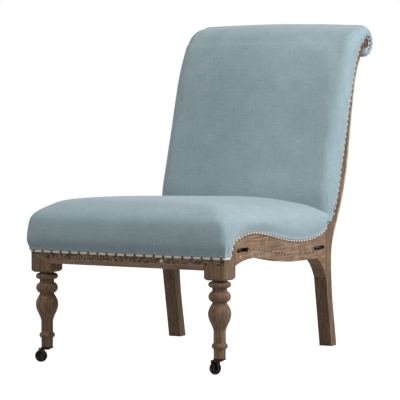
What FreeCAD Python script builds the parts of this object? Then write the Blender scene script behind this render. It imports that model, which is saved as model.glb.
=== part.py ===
import FreeCAD, Part
import math
import os

# Armless lounge chair with a scroll back: an open oak frame, turned front legs on swivel
# casters, swept rear legs that run up into the back posts, a sprung seat and a padded back.
# Millimetres, +Z up, -Y to the front, +X to the right seen from the front.
# The model is drawn with y = 0 at the front leg axes and moved to the middle at the end.

V = FreeCAD.Vector

# Frame
LEG_SPACING = 499.0        # front leg axes, side to side
POST_SPACING = 468.0       # rear post centres, side to side
FRAME_DEPTH = 600.0        # front leg axes to the front faces of the rear posts
POST_WIDTH = 36.0          # rear post, side to side
RAIL_WIDTH = 32.0          # front and side rails, thickness
FACE_FIT = 0.1             # flat pieces laid on each other
SOFT_GAP = 0.3             # stuffing and cloth clear of the wood
HOLE_FIT = 0.05            # pins and screws in their holes, on the radius

# Casters
WHEEL_R = 16.0
WHEEL_WIDTH = 14.0
WHEEL_SHOULDER = 13.8      # radius where the rounded tread begins
WHEEL_HUB_R = 5.0
WHEEL_GAP = 0.7            # wheel face to fork arm
TRAIL = 16.0               # wheel axle behind the swivel axis
AXLE_R = 2.5
AXLE_HEAD_R = 4.0
AXLE_HEAD = 1.2
FORK_ARM = 2.6
FORK_BOSS_R = 5.0
CROWN = 2.6                # fork crown plate
CROWN_CLEAR = 1.2          # crown above the wheel
PLATE = 2.2                # plate under the leg
PLATE_R = 16.0
SWIVEL_GAP = 0.2           # crown to plate
STEM_R = 4.0
STEM_DEPTH = 40.0          # stem inside the leg
STEM_HEAD = 2.0
STEM_HEAD_R = 6.0
TURN_LEFT = 225.0          # heading of each trailing wheel at rest, degrees from +X
TURN_RIGHT = 255.0

# Turned front legs, stacked from the plate up
BLOCK = 57.0               # square head of the leg
FOOT_H = 24.0
FOOT_R = 14.5
COLLAR_H = 14.0
COLLAR_R = 20.0
SHAFT_H = 24.0
SHAFT_R = 15.2
VASE_H = 74.0
VASE_SWELL = [(0.18, 17.2), (0.42, 25.0), (0.70, 28.5), (0.88, 24.0)]  # height share, radius
NECK_H = 3.0
NECK_R = 18.5
BEAD_H = 27.0
BEAD_R = 27.8
UPPER_NECK_H = 9.0
RING_H = 14.0
RING_R = 28.3
TOP_NECK_H = 4.0
BLOCK_CHAMFER = 5.0

# Seat rails: heights above the front rail's lower edge
RAIL_RISE = 24.0           # front rail's lower edge above the block's lower end
FRONT_TOP = 72.0
HUMP_TOP = 86.0
MID_TOP = 62.0
DIP_TOP = 46.5
REAR_TOP = 64.0
HUMP_Y = 105.0             # hump behind the front leg axes
DIP_BACK = 110.0           # dip in front of the post
FRONT_BOTTOM = 9.5
ARCH_BOTTOM = 21.0
MID_BOTTOM = -1.0
REAR_BOTTOM = -8.5
ARCH_Y = 140.0
MOULDING_H = 13.0          # smooth strip along the front rail's lower edge
MOULDING = 2.0
MOULDING_ROUND = 1.6
KNEE_RUN = 60.0            # knee bracket, forward of the post
KNEE_DROP = 74.0           # knee bracket, down the post
KNEE_HOLLOW = [(0.50, 0.20), (0.78, 0.42)]  # its curve, as shares of the run and the drop

# Rear posts
FOOT_BACK = 72.0           # back of the rear foot behind the joint with the rail
FOOT_DEPTH = 31.0
CALF_BACK = 45.0           # sweep of the leg at the calf and at the knee
CALF_Z = 135.0
KNEE_BACK = 37.0
KNEE_Z = 212.0
CALF_FRONT = 12.0
CALF_FRONT_Z = 150.0
EYE_SETBACK = 254.0        # centre of the scroll behind the joint
EYE_RISE = 565.0           # centre of the scroll above the front rail's lower edge
EYE_R = 19.0
EYE_BACK_TURN = 215.0      # where the post's two edges run into the eye, degrees
EYE_FRONT_TURN = 125.0
# The post's two curved edges, as shares of the setback and the rise
POST_BACK = [(0.165, 0.044), (0.240, 0.113), (0.402, 0.244), (0.512, 0.372), (0.598, 0.540),
             (0.697, 0.749), (0.776, 0.860), (0.882, 0.938)]
POST_FRONT = [(0.0, 0.101), (0.126, 0.186), (0.228, 0.271), (0.303, 0.379), (0.394, 0.508),
              (0.472, 0.628), (0.555, 0.749), (0.634, 0.846), (0.701, 0.919), (0.811, 0.986)]

# Cross rails between the posts
REAR_RAIL_BOTTOM = -5.0
REAR_RAIL_H = 60.0
STUFF_RAIL_Z = 125.0
STUFF_RAIL_H = 45.0
CREST_DROP = 70.0          # lower edge of the crest rail below the scroll's centre
DOWEL_R = 9.0
DOWEL_DEPTH = 30.0         # dowel inside the crest rail
DOWEL_PROUD = 1.5

# Bolts in their pockets, pegs, corner braces and battens
POCKET_LENGTH = 72.0
POCKET_H = 11.0
POCKET_DEPTH = 20.0
POCKET_MARGIN = 6.0        # pocket to the end of the rail
FRONT_POCKET_Z = 45.0
REAR_POCKET_Z = 17.0
BOLT_R = 3.0
BOLT_INSET = 13.0          # bolt axis below the rail's face
BOLT_GRIP = 40.0           # bolt inside the leg or post
BOLT_FREE = 34.0           # bolt's shank in the pocket
BOLT_HEAD = 5.0
BOLT_HEAD_R = 5.0
POST_BOLT_GRIP = 26.0
PEG_R = 4.0
PEG_DEPTH = 12.0
FRONT_PEG_X = 102.0
FRONT_PEG_Z = 19.0
SIDE_PEG_Y = 58.0
SIDE_PEG_Z = 30.0
WEB_Z = 22.0               # webbing's upper face above the front rail's lower edge
BATTEN_H = 22.0
BATTEN = 20.0
BRACE_REACH = 62.0         # brace along each rail
BRACE_BACK = 26.0          # front brace behind the block's corner
SCREW_BACK = 25.0          # brace's screws from its near end
SCREW_R = 2.0
SCREW_LENGTH = 38.0

# Seat
WEB_WIDTH = 50.0
WEB = 1.0
LONG_WEB_COUNT = 5
CROSS_WEB_COUNT = 5
LONG_WEB_MARGIN = 56.0     # outer straps in from the posts
CROSS_WEB_MARGIN = 63.25   # outer straps in from the front rail and the posts
SPRING_R = 36.0            # end coils
SPRING_WAIST_R = 28.0      # middle coil
SPRING_WIRE_R = 1.9
SPRING_TURNS = 4
SPRING_ROWS = 3
SPRING_TOP = 105.0         # springs above the front rail's lower edge
CANVAS = 1.2
CANVAS_INSET = 10.0
COVER = 2.0                # linen with its wadding
SEAT_CROWN = 172.0
SEAT_FALL = 29.0           # seat lower at the back
SIDE_DROP = 58.0           # seat lower along its sides
SIDE_POWER = 6
FRONT_DROP = 52.0          # seat lower along its front
FRONT_ROLL = 48.0
FRONT_BULGE = 14.0         # cover proud of the blocks
SIDE_BULGE = 12.0
SEAT_CORNER = 45.0
SEAT_STEPS = 16            # points each way over the seat's crown
HUMP_SWEEP = [(0.13, 0.55), (0.40, 0.86)]  # cover's edge from the nail line up to the hump
NAIL_LINE = 33.0           # cover's lower edge above the front rail's lower edge
SKIRT_TUCK = 10.0          # cover drawn in towards the nail line
SKIRT_H = 36.0
BRAID = 5.0
BRAID_THICK = 1.6
TACK_PITCH = 27.0
TACK_R = 2.5
TACK_HEAD = 1.4
TACK_SHANK_R = 0.8
TACK_LENGTH = 9.0

# Back
BACK_BULGE = 7.0           # cover proud of the posts
PAD = 68.0                 # padding in front of the posts
PAD_TOP = 47.0             # padding where the back turns over
PAD_ROUND = 24.0           # rounding at the padding's two ends
ROLL_ROUND = 8.0           # rounding at the roll's two ends
ROUND_STEPS = 3            # facets round each end of the padding
PAD_SAMPLES = 12           # points along the padding's front
LAYER_SAMPLES = 31         # points along each layer on the posts
EYE_LAP = 2.5              # cover lapped over the eye's rim
ROLL_R = 46.0
ROLL_LIFT = 7.0            # centre of the roll above the eye
ROLL_START = 112.0         # where the padding's front runs into the roll, degrees
ROLL_END = 232.0           # where the roll meets the post's back, degrees
PAD_BOTTOM = 110.0         # lower end of the padding above the front rail's lower edge
WRAP = 16.0                # cover turned onto the post's side
BACK_WEB_COUNT = 5
BACK_WEB_PITCH = 76.0
CROSS_BACK_COUNT = 4
CROSS_BACK_Z = 205.0
OUTSIDE = 1.5              # outside back panel
OUTSIDE_Z = 33.0
OUTSIDE_DROP = 53.0        # top of the panel below the scroll's centre
OUTSIDE_MARGIN = 9.0       # tacks in from the panel's edge
OUTSIDE_TACK_PITCH = 42.0

# Levels and lines that follow from the sizes above
LEG_Z = 2 * WHEEL_R + CROWN_CLEAR + CROWN + SWIVEL_GAP + PLATE
BLOCK_Z = (LEG_Z + FOOT_H + COLLAR_H + SHAFT_H + VASE_H + NECK_H + BEAD_H + UPPER_NECK_H
           + RING_H + TOP_NECK_H)
BASE = BLOCK_Z + RAIL_RISE
HALF_BLOCK = BLOCK / 2
LEG_X = LEG_SPACING / 2
BLOCK_OUT = LEG_X + HALF_BLOCK
BLOCK_IN = LEG_X - HALF_BLOCK
POST_OUT = (POST_SPACING + POST_WIDTH) / 2
POST_IN = (POST_SPACING - POST_WIDTH) / 2
RAIL_BACK_Y = RAIL_WIDTH - HALF_BLOCK
LONG_PITCH = (2 * (POST_IN - LONG_WEB_MARGIN) - WEB_WIDTH) / (LONG_WEB_COUNT - 1)
CROSS_PITCH = (FRAME_DEPTH - RAIL_BACK_Y - 2 * CROSS_WEB_MARGIN - WEB_WIDTH) / (CROSS_WEB_COUNT - 1)
SPRING_PITCH = 2 * LONG_PITCH
CREST_Z = EYE_RISE - CREST_DROP
OUTSIDE_TOP = EYE_RISE - OUTSIDE_DROP
CROSS_BACK_PITCH = (CREST_Z - WEB_WIDTH - CROSS_BACK_Z) / (CROSS_BACK_COUNT - 1)
EYE = (FRAME_DEPTH + EYE_SETBACK, BASE + EYE_RISE)
ROLL = (EYE[0], EYE[1] + ROLL_LIFT)
DIP_Y = FRAME_DEPTH - DIP_BACK
SEAT_FRONT = -(HALF_BLOCK + FRONT_BULGE)
SKIRT_Z = BASE + NAIL_LINE
WEB_TOP = BASE + WEB_Z
BATTEN_TOP = WEB_TOP + BATTEN_H
CANVAS_Z = BASE + SPRING_TOP
REACH = 2 * LEG_SPACING    # further out than any piece
MIDDLE = (SEAT_FRONT + ROLL[0] + ROLL_R) / 2

pieces = {}


def point(y, z, x=0.0):
    return V(x, y, z)


def line(a, b):
    return Part.makeLine(point(*a), point(*b))


def spline(points):
    curve = Part.BSplineCurve()
    curve.interpolate([point(*p) for p in points])
    return curve


def on_circle(centre, radius, degrees):
    turn = math.radians(degrees)
    return (centre[0] + radius * math.cos(turn), centre[1] + radius * math.sin(turn))


def arc(centre, radius, start, end):
    ends = [on_circle(centre, radius, a) for a in (start, (start + end) / 2, end)]
    return Part.Arc(*[point(*p) for p in ends]).toShape()


def face_of(edges):
    return Part.Face(Part.Wire(Part.__sortEdges__(edges)))


def across(face, x0, x1):
    moved = face.copy()
    moved.translate(V(x0, 0, 0))
    return moved.extrude(V(x1 - x0, 0, 0))


def plate(corners, z0, z1):
    loop = [V(x, y, z0) for x, y in corners]
    return Part.Face(Part.makePolygon(loop + loop[:1])).extrude(V(0, 0, z1 - z0))


def box(x0, x1, y0, y1, z0, z1):
    return Part.makeBox(x1 - x0, y1 - y0, z1 - z0, V(x0, y0, z0))


def slab(z0, z1):
    return box(-REACH, REACH, -REACH, 2 * REACH, z0, z1)


def rod(start, direction, radius, length):
    return Part.makeCylinder(radius, length, start, direction)


def mirrored(shape):
    return shape.mirror(V(0, 0, 0), V(1, 0, 0))


def add(name, shape):
    pieces[name] = shape


def add_pair(name, right):
    add(name + "_right", right)
    add(name + "_left", mirrored(right))


def add_group(name, solids):
    add(name, Part.makeCompound(solids))


def rail_out(y):
    share = (y - HALF_BLOCK) / (FRAME_DEPTH - HALF_BLOCK)
    return BLOCK_OUT + (POST_OUT - BLOCK_OUT) * share


def rail_in(y):
    return rail_out(y) - RAIL_WIDTH


def between_rails(y0, y1, inset):
    return [(-rail_in(y0) + inset, y0), (rail_in(y0) - inset, y0),
            (rail_in(y1) - inset, y1), (-rail_in(y1) + inset, y1)]


# Casters
def fork_shape():
    half = WHEEL_WIDTH / 2 + WHEEL_GAP
    outer = half + FORK_ARM
    crown_z = 2 * WHEEL_R + CROWN_CLEAR
    top = crown_z + CROWN
    nose = STEM_HEAD_R + FORK_ARM
    crown = box(0, TRAIL + FORK_BOSS_R, -outer, outer, crown_z, top)
    crown = crown.fuse(rod(V(0, 0, crown_z), V(0, 0, 1), outer, CROWN))
    arm = [V(nose, 0, crown_z), V(TRAIL + FORK_BOSS_R, 0, crown_z),
           V(TRAIL + FORK_BOSS_R, 0, WHEEL_R), V(TRAIL - FORK_BOSS_R, 0, WHEEL_R)]
    for side in (-outer, half):
        web = Part.Face(Part.makePolygon(arm + arm[:1]))
        web.translate(V(0, side, 0))
        boss = rod(V(TRAIL, side, WHEEL_R), V(0, 1, 0), FORK_BOSS_R, FORK_ARM)
        crown = crown.fuse(web.extrude(V(0, FORK_ARM, 0))).fuse(boss)
    crown = crown.cut(rod(V(0, 0, 0), V(0, 0, 1), STEM_R + HOLE_FIT, LEG_Z))
    hole = rod(V(TRAIL, -outer, WHEEL_R), V(0, 1, 0), AXLE_R + HOLE_FIT, 2 * outer)
    return crown.cut(hole).removeSplitter()


def axle_shape():
    outer = WHEEL_WIDTH / 2 + WHEEL_GAP + FORK_ARM + FACE_FIT
    shape = rod(V(TRAIL, -outer, WHEEL_R), V(0, 1, 0), AXLE_R, 2 * outer)
    for start in (-outer - AXLE_HEAD, outer):
        shape = shape.fuse(rod(V(TRAIL, start, WHEEL_R), V(0, 1, 0), AXLE_HEAD_R, AXLE_HEAD))
    return shape.removeSplitter()


def wheel_shape():
    half = WHEEL_WIDTH / 2
    hub = half + WHEEL_GAP - FACE_FIT
    bore = AXLE_R + HOLE_FIT
    outline = [V(bore, -hub, 0), V(WHEEL_HUB_R, -hub, 0), V(WHEEL_HUB_R, -half, 0),
               V(WHEEL_SHOULDER, -half, 0)]
    edges = [Part.makeLine(a, b) for a, b in zip(outline, outline[1:])]
    tread = Part.Arc(V(WHEEL_SHOULDER, -half, 0), V(WHEEL_R, 0, 0), V(WHEEL_SHOULDER, half, 0))
    edges.append(tread.toShape())
    back = [V(p.x, -p.y, 0) for p in reversed(outline)] + outline[:1]
    edges += [Part.makeLine(a, b) for a, b in zip(back, back[1:])]
    wheel = Part.Face(Part.Wire(edges)).revolve(V(0, 0, 0), V(0, 1, 0), 360)
    wheel.translate(V(TRAIL, 0, WHEEL_R))
    return wheel


def stem_shape():
    head_z = 2 * WHEEL_R + CROWN_CLEAR - FACE_FIT
    head = rod(V(0, 0, head_z - STEM_HEAD), V(0, 0, 1), STEM_HEAD_R, STEM_HEAD)
    return head.fuse(rod(V(0, 0, head_z), V(0, 0, 1), STEM_R, LEG_Z + STEM_DEPTH - head_z))


def plate_shape():
    disc = rod(V(0, 0, LEG_Z - PLATE), V(0, 0, 1), PLATE_R, PLATE)
    return disc.cut(rod(V(0, 0, 0), V(0, 0, 1), STEM_R + HOLE_FIT, LEG_Z))


for side, x, turn in (("left", -LEG_X, TURN_LEFT), ("right", LEG_X, TURN_RIGHT)):
    caster = {"caster_plate": plate_shape(), "caster_stem": stem_shape(),
              "caster_fork": fork_shape(), "caster_axle": axle_shape(),
              "caster_wheel": wheel_shape()}
    for name, shape in caster.items():
        shape.rotate(V(0, 0, 0), V(0, 0, 1), turn)
        shape.translate(V(x, 0, 0))
        add(name + "_" + side, shape)


# Turned front legs
def turned_leg():
    z = LEG_Z
    edges = []

    def straight(r0, height, r1):
        nonlocal z
        edges.append(Part.makeLine(V(r0, 0, z), V(r1, 0, z + height)))
        z += height

    def swell(r0, height, peak, r1):
        nonlocal z
        middle = V(peak, 0, z + height / 2)
        edges.append(Part.Arc(V(r0, 0, z), middle, V(r1, 0, z + height)).toShape())
        z += height

    def vase():
        nonlocal z
        curve = Part.BSplineCurve()
        stations = [(0, SHAFT_R)] + VASE_SWELL + [(1, NECK_R)]
        curve.interpolate([V(r, 0, z + h * VASE_H) for h, r in stations])
        edges.append(curve.toShape())
        z += VASE_H

    edges.append(Part.makeLine(V(0, 0, z), V(FOOT_R, 0, z)))
    straight(FOOT_R, FOOT_H, SHAFT_R)
    swell(SHAFT_R, COLLAR_H, COLLAR_R, SHAFT_R)
    straight(SHAFT_R, SHAFT_H, SHAFT_R)
    vase()
    straight(NECK_R, NECK_H, NECK_R)
    swell(NECK_R, BEAD_H, BEAD_R, NECK_R)
    straight(NECK_R, UPPER_NECK_H, NECK_R)
    swell(NECK_R, RING_H, RING_R, NECK_R)
    straight(NECK_R, TOP_NECK_H, NECK_R)
    edges.append(Part.makeLine(V(NECK_R, 0, z), V(0, 0, z)))
    edges.append(Part.makeLine(V(0, 0, z), V(0, 0, LEG_Z)))
    turning = Part.Face(Part.Wire(edges)).revolve(V(0, 0, 0), V(0, 0, 1), 360)
    block = box(-HALF_BLOCK, HALF_BLOCK, -HALF_BLOCK, HALF_BLOCK, BLOCK_Z, BASE + FRONT_TOP)
    lower = [e for e in block.Edges if abs(e.CenterOfMass.z - BLOCK_Z) < FACE_FIT]
    block = block.makeChamfer(BLOCK_CHAMFER, lower)
    leg = turning.fuse(block).removeSplitter()
    return leg.cut(rod(V(0, 0, LEG_Z), V(0, 0, 1), STEM_R + HOLE_FIT, STEM_DEPTH + FACE_FIT))


# Curved outlines of the side rails and posts
def rail_top():
    middle = (HUMP_Y + DIP_Y) / 2
    stations = [(HALF_BLOCK, FRONT_TOP), (HUMP_Y, HUMP_TOP), (middle, MID_TOP),
                (DIP_Y, DIP_TOP), (FRAME_DEPTH, REAR_TOP)]
    return spline([(y, BASE + z) for y, z in stations])


def rail_bottom():
    middle = (ARCH_Y + DIP_Y) / 2
    stations = [(HALF_BLOCK, FRONT_BOTTOM), (ARCH_Y, ARCH_BOTTOM), (middle, MID_BOTTOM),
                (DIP_Y, REAR_BOTTOM), (FRAME_DEPTH, REAR_BOTTOM)]
    return spline([(y, BASE + z) for y, z in stations])


def side_rail():
    front = line((HALF_BLOCK, BASE + FRONT_TOP), (HALF_BLOCK, BASE + FRONT_BOTTOM))
    rear = line((FRAME_DEPTH, BASE + REAR_TOP), (FRAME_DEPTH, BASE + REAR_BOTTOM))
    outline = face_of([rail_top().toShape(), rear, rail_bottom().toShape(), front])
    board = [(rail_out(HALF_BLOCK), HALF_BLOCK), (rail_out(FRAME_DEPTH), FRAME_DEPTH),
             (rail_in(FRAME_DEPTH), FRAME_DEPTH), (rail_in(HALF_BLOCK), HALF_BLOCK)]
    return across(outline, 0, REACH).common(plate(board, 0, REACH))


def on_post(share):
    return (FRAME_DEPTH + share[0] * EYE_SETBACK, BASE + share[1] * EYE_RISE)


def post_back_points():
    leg = [(FRAME_DEPTH + FOOT_BACK, 0), (FRAME_DEPTH + CALF_BACK, CALF_Z),
           (FRAME_DEPTH + KNEE_BACK, KNEE_Z)]
    return leg + [on_post(s) for s in POST_BACK] + [on_circle(EYE, EYE_R, EYE_BACK_TURN)]


def post_front_points():
    return [on_post(s) for s in POST_FRONT] + [on_circle(EYE, EYE_R, EYE_FRONT_TURN)]


def post_outline():
    toe = (FRAME_DEPTH + FOOT_BACK - FOOT_DEPTH, 0)
    knee = (FRAME_DEPTH, KNEE_Z)
    calf = (FRAME_DEPTH + CALF_FRONT, CALF_FRONT_Z)
    eye = arc(EYE, EYE_R, EYE_BACK_TURN, EYE_FRONT_TURN + 360)
    return face_of([line(toe, (FRAME_DEPTH + FOOT_BACK, 0)), spline(post_back_points()).toShape(),
                    eye, spline(post_front_points()).toShape(),
                    line(on_post(POST_FRONT[0]), knee), spline([knee, calf, toe]).toShape()])


POST_FACE = post_outline()
LEG_RIGHT = turned_leg()
LEG_RIGHT.translate(V(LEG_X, 0, 0))
RAIL_RIGHT = side_rail()
POST_RIGHT = across(POST_FACE, POST_IN, POST_OUT)
BETWEEN_POSTS = across(POST_FACE, -POST_IN, POST_IN)


def knee_bracket():
    start = (FRAME_DEPTH - KNEE_RUN, BASE + REAR_BOTTOM)
    end = (FRAME_DEPTH + CALF_FRONT, BASE + REAR_BOTTOM - KNEE_DROP)
    bend = [(start[0] + run * KNEE_RUN, start[1] - drop * KNEE_DROP) for run, drop in KNEE_HOLLOW]
    hollow = spline([start] + bend + [end])
    corner = (end[0], start[1])
    outline = face_of([hollow.toShape(), line(end, corner), line(corner, start)])
    return across(outline, POST_IN, POST_OUT).cut(POST_RIGHT).cut(RAIL_RIGHT)


add_pair("knee_bracket", knee_bracket())


# Front rail with its smooth moulding, and the rails between the posts
front_rail = box(-BLOCK_IN, BLOCK_IN, -HALF_BLOCK, RAIL_BACK_Y, BASE, BASE + FRONT_TOP)
moulding = box(-BLOCK_IN, BLOCK_IN, -HALF_BLOCK - MOULDING, 0, BASE, BASE + MOULDING_H)
nose = [e for e in moulding.Edges if e.Length > BLOCK_IN and e.CenterOfMass.y < -HALF_BLOCK]
front_rail = front_rail.fuse(moulding.makeFillet(MOULDING_ROUND, nose)).removeSplitter()

rear_rail_z = BASE + REAR_RAIL_BOTTOM
add("rear_rail", BETWEEN_POSTS.common(slab(rear_rail_z, rear_rail_z + REAR_RAIL_H)))
stuff_rail_z = BASE + STUFF_RAIL_Z
add("back_stuffing_rail", BETWEEN_POSTS.common(slab(stuff_rail_z, stuff_rail_z + STUFF_RAIL_H)))
crest_rail = BETWEEN_POSTS.common(slab(BASE + CREST_Z, REACH))


# Dowels that pin the posts to the crest rail, seen as the plugs in the scroll's eyes
def dowel(radius):
    start = V(POST_IN - DOWEL_DEPTH, EYE[0], EYE[1])
    return rod(start, V(1, 0, 0), radius, DOWEL_DEPTH + POST_WIDTH + DOWEL_PROUD)


add_pair("crest_dowel", dowel(DOWEL_R))
hole = dowel(DOWEL_R + HOLE_FIT)
POST_RIGHT = POST_RIGHT.cut(hole)
add("crest_rail", crest_rail.cut(hole).cut(mirrored(hole)))


# Frame bolts lying in long pockets in the side rails' outer faces
def pocket(y0, z):
    x = rail_out(y0 + POCKET_LENGTH / 2)
    radius = POCKET_H / 2
    deep = V(x - POCKET_DEPTH, y0 + radius, z)
    run = POCKET_LENGTH - 2 * radius
    slot = rod(deep, V(1, 0, 0), radius, 2 * POCKET_DEPTH)
    slot = slot.fuse(rod(deep + V(0, run, 0), V(1, 0, 0), radius, 2 * POCKET_DEPTH))
    middle = box(deep.x, deep.x + 2 * POCKET_DEPTH, deep.y, deep.y + run, z - radius, z + radius)
    return slot.fuse(middle)


def bolt(y_end, z, toward, grip, radius):
    mouth = y_end - toward * (POCKET_MARGIN + BOLT_FREE)
    x = rail_out(y_end - toward * POCKET_LENGTH / 2) - BOLT_INSET
    return rod(V(x, mouth, z), V(0, toward, 0), radius, POCKET_MARGIN + BOLT_FREE + grip)


def bolt_head(y_end, z, toward):
    mouth = y_end - toward * (POCKET_MARGIN + BOLT_FREE)
    x = rail_out(y_end - toward * POCKET_LENGTH / 2) - BOLT_INSET
    return rod(V(x, mouth - toward * BOLT_HEAD, z), V(0, toward, 0), BOLT_HEAD_R, BOLT_HEAD)


front_z = BASE + FRONT_POCKET_Z
rear_z = BASE + REAR_POCKET_Z
RAIL_RIGHT = RAIL_RIGHT.cut(pocket(HALF_BLOCK + POCKET_MARGIN, front_z))
RAIL_RIGHT = RAIL_RIGHT.cut(pocket(FRAME_DEPTH - POCKET_MARGIN - POCKET_LENGTH, rear_z))
bolts = []
for end, z, toward, grip in ((HALF_BLOCK, front_z, -1, BOLT_GRIP),
                             (FRAME_DEPTH, rear_z, 1, POST_BOLT_GRIP)):
    bore = bolt(end, z, toward, grip, BOLT_R + HOLE_FIT)
    RAIL_RIGHT = RAIL_RIGHT.cut(bore)
    LEG_RIGHT = LEG_RIGHT.cut(bore)
    POST_RIGHT = POST_RIGHT.cut(bore)
    whole = bolt(end, z, toward, grip, BOLT_R).fuse(bolt_head(end, z, toward))
    bolts += [whole, mirrored(whole)]
add_group("frame_bolts", bolts)


# Pale pegs in the rails' outer faces
def front_peg(radius):
    start = V(FRONT_PEG_X, -HALF_BLOCK, BASE + FRONT_PEG_Z)
    return rod(start, V(0, 1, 0), radius, PEG_DEPTH)


def side_peg(radius):
    x = rail_out(SIDE_PEG_Y)
    return rod(V(x - PEG_DEPTH, SIDE_PEG_Y, BASE + SIDE_PEG_Z), V(1, 0, 0), radius, PEG_DEPTH)


front_rail = front_rail.cut(front_peg(PEG_R + HOLE_FIT))
RAIL_RIGHT = RAIL_RIGHT.cut(side_peg(PEG_R + HOLE_FIT))
add_group("joint_pegs", [front_peg(PEG_R), side_peg(PEG_R), mirrored(side_peg(PEG_R))])


# Corner braces with their screws, and battens for the webbing
def front_brace():
    near = HALF_BLOCK + BRACE_BACK
    far = near + BRACE_REACH
    inner = BLOCK_IN - BRACE_BACK
    return plate([(inner - BRACE_REACH, RAIL_BACK_Y), (inner, RAIL_BACK_Y),
                  (rail_in(near), near), (rail_in(far), far)], WEB_TOP, BATTEN_TOP)


def rear_brace():
    near = FRAME_DEPTH - BRACE_REACH
    return plate([(rail_in(near), near), (rail_in(FRAME_DEPTH), FRAME_DEPTH),
                  (rail_in(FRAME_DEPTH) - BRACE_REACH, FRAME_DEPTH)], WEB_TOP, BATTEN_TOP)


def brace_screws(radius):
    z = WEB_TOP + BATTEN_H / 2
    front_y = HALF_BLOCK + BRACE_BACK + BRACE_REACH - SCREW_BACK
    front_x = BLOCK_IN - BRACE_BACK - SCREW_BACK
    rear_y = FRAME_DEPTH - SCREW_BACK
    rear_x = rail_in(FRAME_DEPTH) - SCREW_BACK
    half = SCREW_LENGTH / 2
    return [rod(V(front_x, RAIL_BACK_Y + half, z), V(0, -1, 0), radius, SCREW_LENGTH),
            rod(V(rail_in(front_y) - half, front_y, z), V(1, 0, 0), radius, SCREW_LENGTH),
            rod(V(rear_x, FRAME_DEPTH - half, z), V(0, 1, 0), radius, SCREW_LENGTH),
            rod(V(rail_in(rear_y) - half, rear_y, z), V(1, 0, 0), radius, SCREW_LENGTH)]


braces = {"front_corner_brace": front_brace(), "rear_corner_brace": rear_brace()}
rear_rail = pieces["rear_rail"]
for hole in brace_screws(SCREW_R + HOLE_FIT):
    RAIL_RIGHT = RAIL_RIGHT.cut(hole)
    front_rail = front_rail.cut(hole).cut(mirrored(hole))
    rear_rail = rear_rail.cut(hole).cut(mirrored(hole))
    for name in braces:
        braces[name] = braces[name].cut(hole)
for name, brace in braces.items():
    add_pair(name, brace)
screws = brace_screws(SCREW_R)
add_group("brace_screws", screws + [mirrored(s) for s in screws])

batten_y0 = HALF_BLOCK + BRACE_BACK + BRACE_REACH
batten_y1 = FRAME_DEPTH - BRACE_REACH
side_batten = plate([(rail_in(batten_y0), batten_y0), (rail_in(batten_y1), batten_y1),
                     (rail_in(batten_y1) - BATTEN, batten_y1),
                     (rail_in(batten_y0) - BATTEN, batten_y0)], WEB_TOP, BATTEN_TOP)
add_pair("webbing_batten", side_batten)
front_half = BLOCK_IN - BRACE_BACK - BRACE_REACH
rear_half = rail_in(FRAME_DEPTH) - BRACE_REACH
add("webbing_batten_front", box(-front_half, front_half, RAIL_BACK_Y, RAIL_BACK_Y + BATTEN,
                                WEB_TOP, BATTEN_TOP))
add("webbing_batten_rear", box(-rear_half, rear_half, FRAME_DEPTH - BATTEN, FRAME_DEPTH,
                               WEB_TOP, BATTEN_TOP))

add("front_rail", front_rail)
add("rear_rail", rear_rail)
add_pair("front_leg", LEG_RIGHT)
add_pair("side_rail", RAIL_RIGHT)
add_pair("rear_post", POST_RIGHT)


# Seat webbing, springs and the canvas over them
def evenly(count, pitch):
    return [pitch * (i - (count - 1) / 2) for i in range(count)]


seat_middle = (RAIL_BACK_Y + FRAME_DEPTH) / 2
half_web = WEB_WIDTH / 2
long_z = WEB_TOP - FACE_FIT
cross_z = long_z - WEB - FACE_FIT
add_group("seat_webbing_lengthwise",
          [box(x - half_web, x + half_web, RAIL_BACK_Y, FRAME_DEPTH, long_z - WEB, long_z)
           for x in evenly(LONG_WEB_COUNT, LONG_PITCH)])
add_group("seat_webbing_crosswise",
          [plate(between_rails(seat_middle + y - half_web, seat_middle + y + half_web, FACE_FIT),
                 cross_z - WEB, cross_z) for y in evenly(CROSS_WEB_COUNT, CROSS_PITCH)])


def spring():
    foot = WEB_TOP + SPRING_WIRE_R
    height = CANVAS_Z - FACE_FIT - SPRING_WIRE_R - foot
    halves = 2 * SPRING_TURNS
    stations = []
    for i in range(halves + 1):
        radius = SPRING_WAIST_R + (SPRING_R - SPRING_WAIST_R) * abs(2 * i / halves - 1)
        stations.append(V(radius * (-1) ** i, 0, foot + height * i / halves))
    arcs = []
    for i, (start, end) in enumerate(zip(stations, stations[1:])):
        middle = (start + end) / 2 + V(0, (end - start).Length / 2 * (-1) ** i, 0)
        arcs.append(Part.Arc(start, middle, end).toShape())
    ring = Part.Wire(Part.makeCircle(SPRING_WIRE_R, stations[0], V(0, 1, 0)))
    return Part.Wire(arcs).makePipeShell([ring], True, False)


springs = []
for x in evenly(SPRING_ROWS, SPRING_PITCH):
    for y in evenly(SPRING_ROWS, SPRING_PITCH):
        coil = spring()
        coil.translate(V(x, seat_middle + y, 0))
        springs.append(coil)
add_group("seat_springs", springs)

canvas_y0 = HALF_BLOCK + CANVAS_INSET
canvas_y1 = FRAME_DEPTH - CANVAS_INSET


def canvas_tray(grow, z0, z1):
    return plate(between_rails(canvas_y0 - grow, canvas_y1 + grow, CANVAS_INSET - grow), z0, z1)


rim = BATTEN_TOP + FACE_FIT
tray = canvas_tray(0, rim, CANVAS_Z + CANVAS)
add("spring_canvas", tray.cut(canvas_tray(-CANVAS, rim, CANVAS_Z)))


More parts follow.
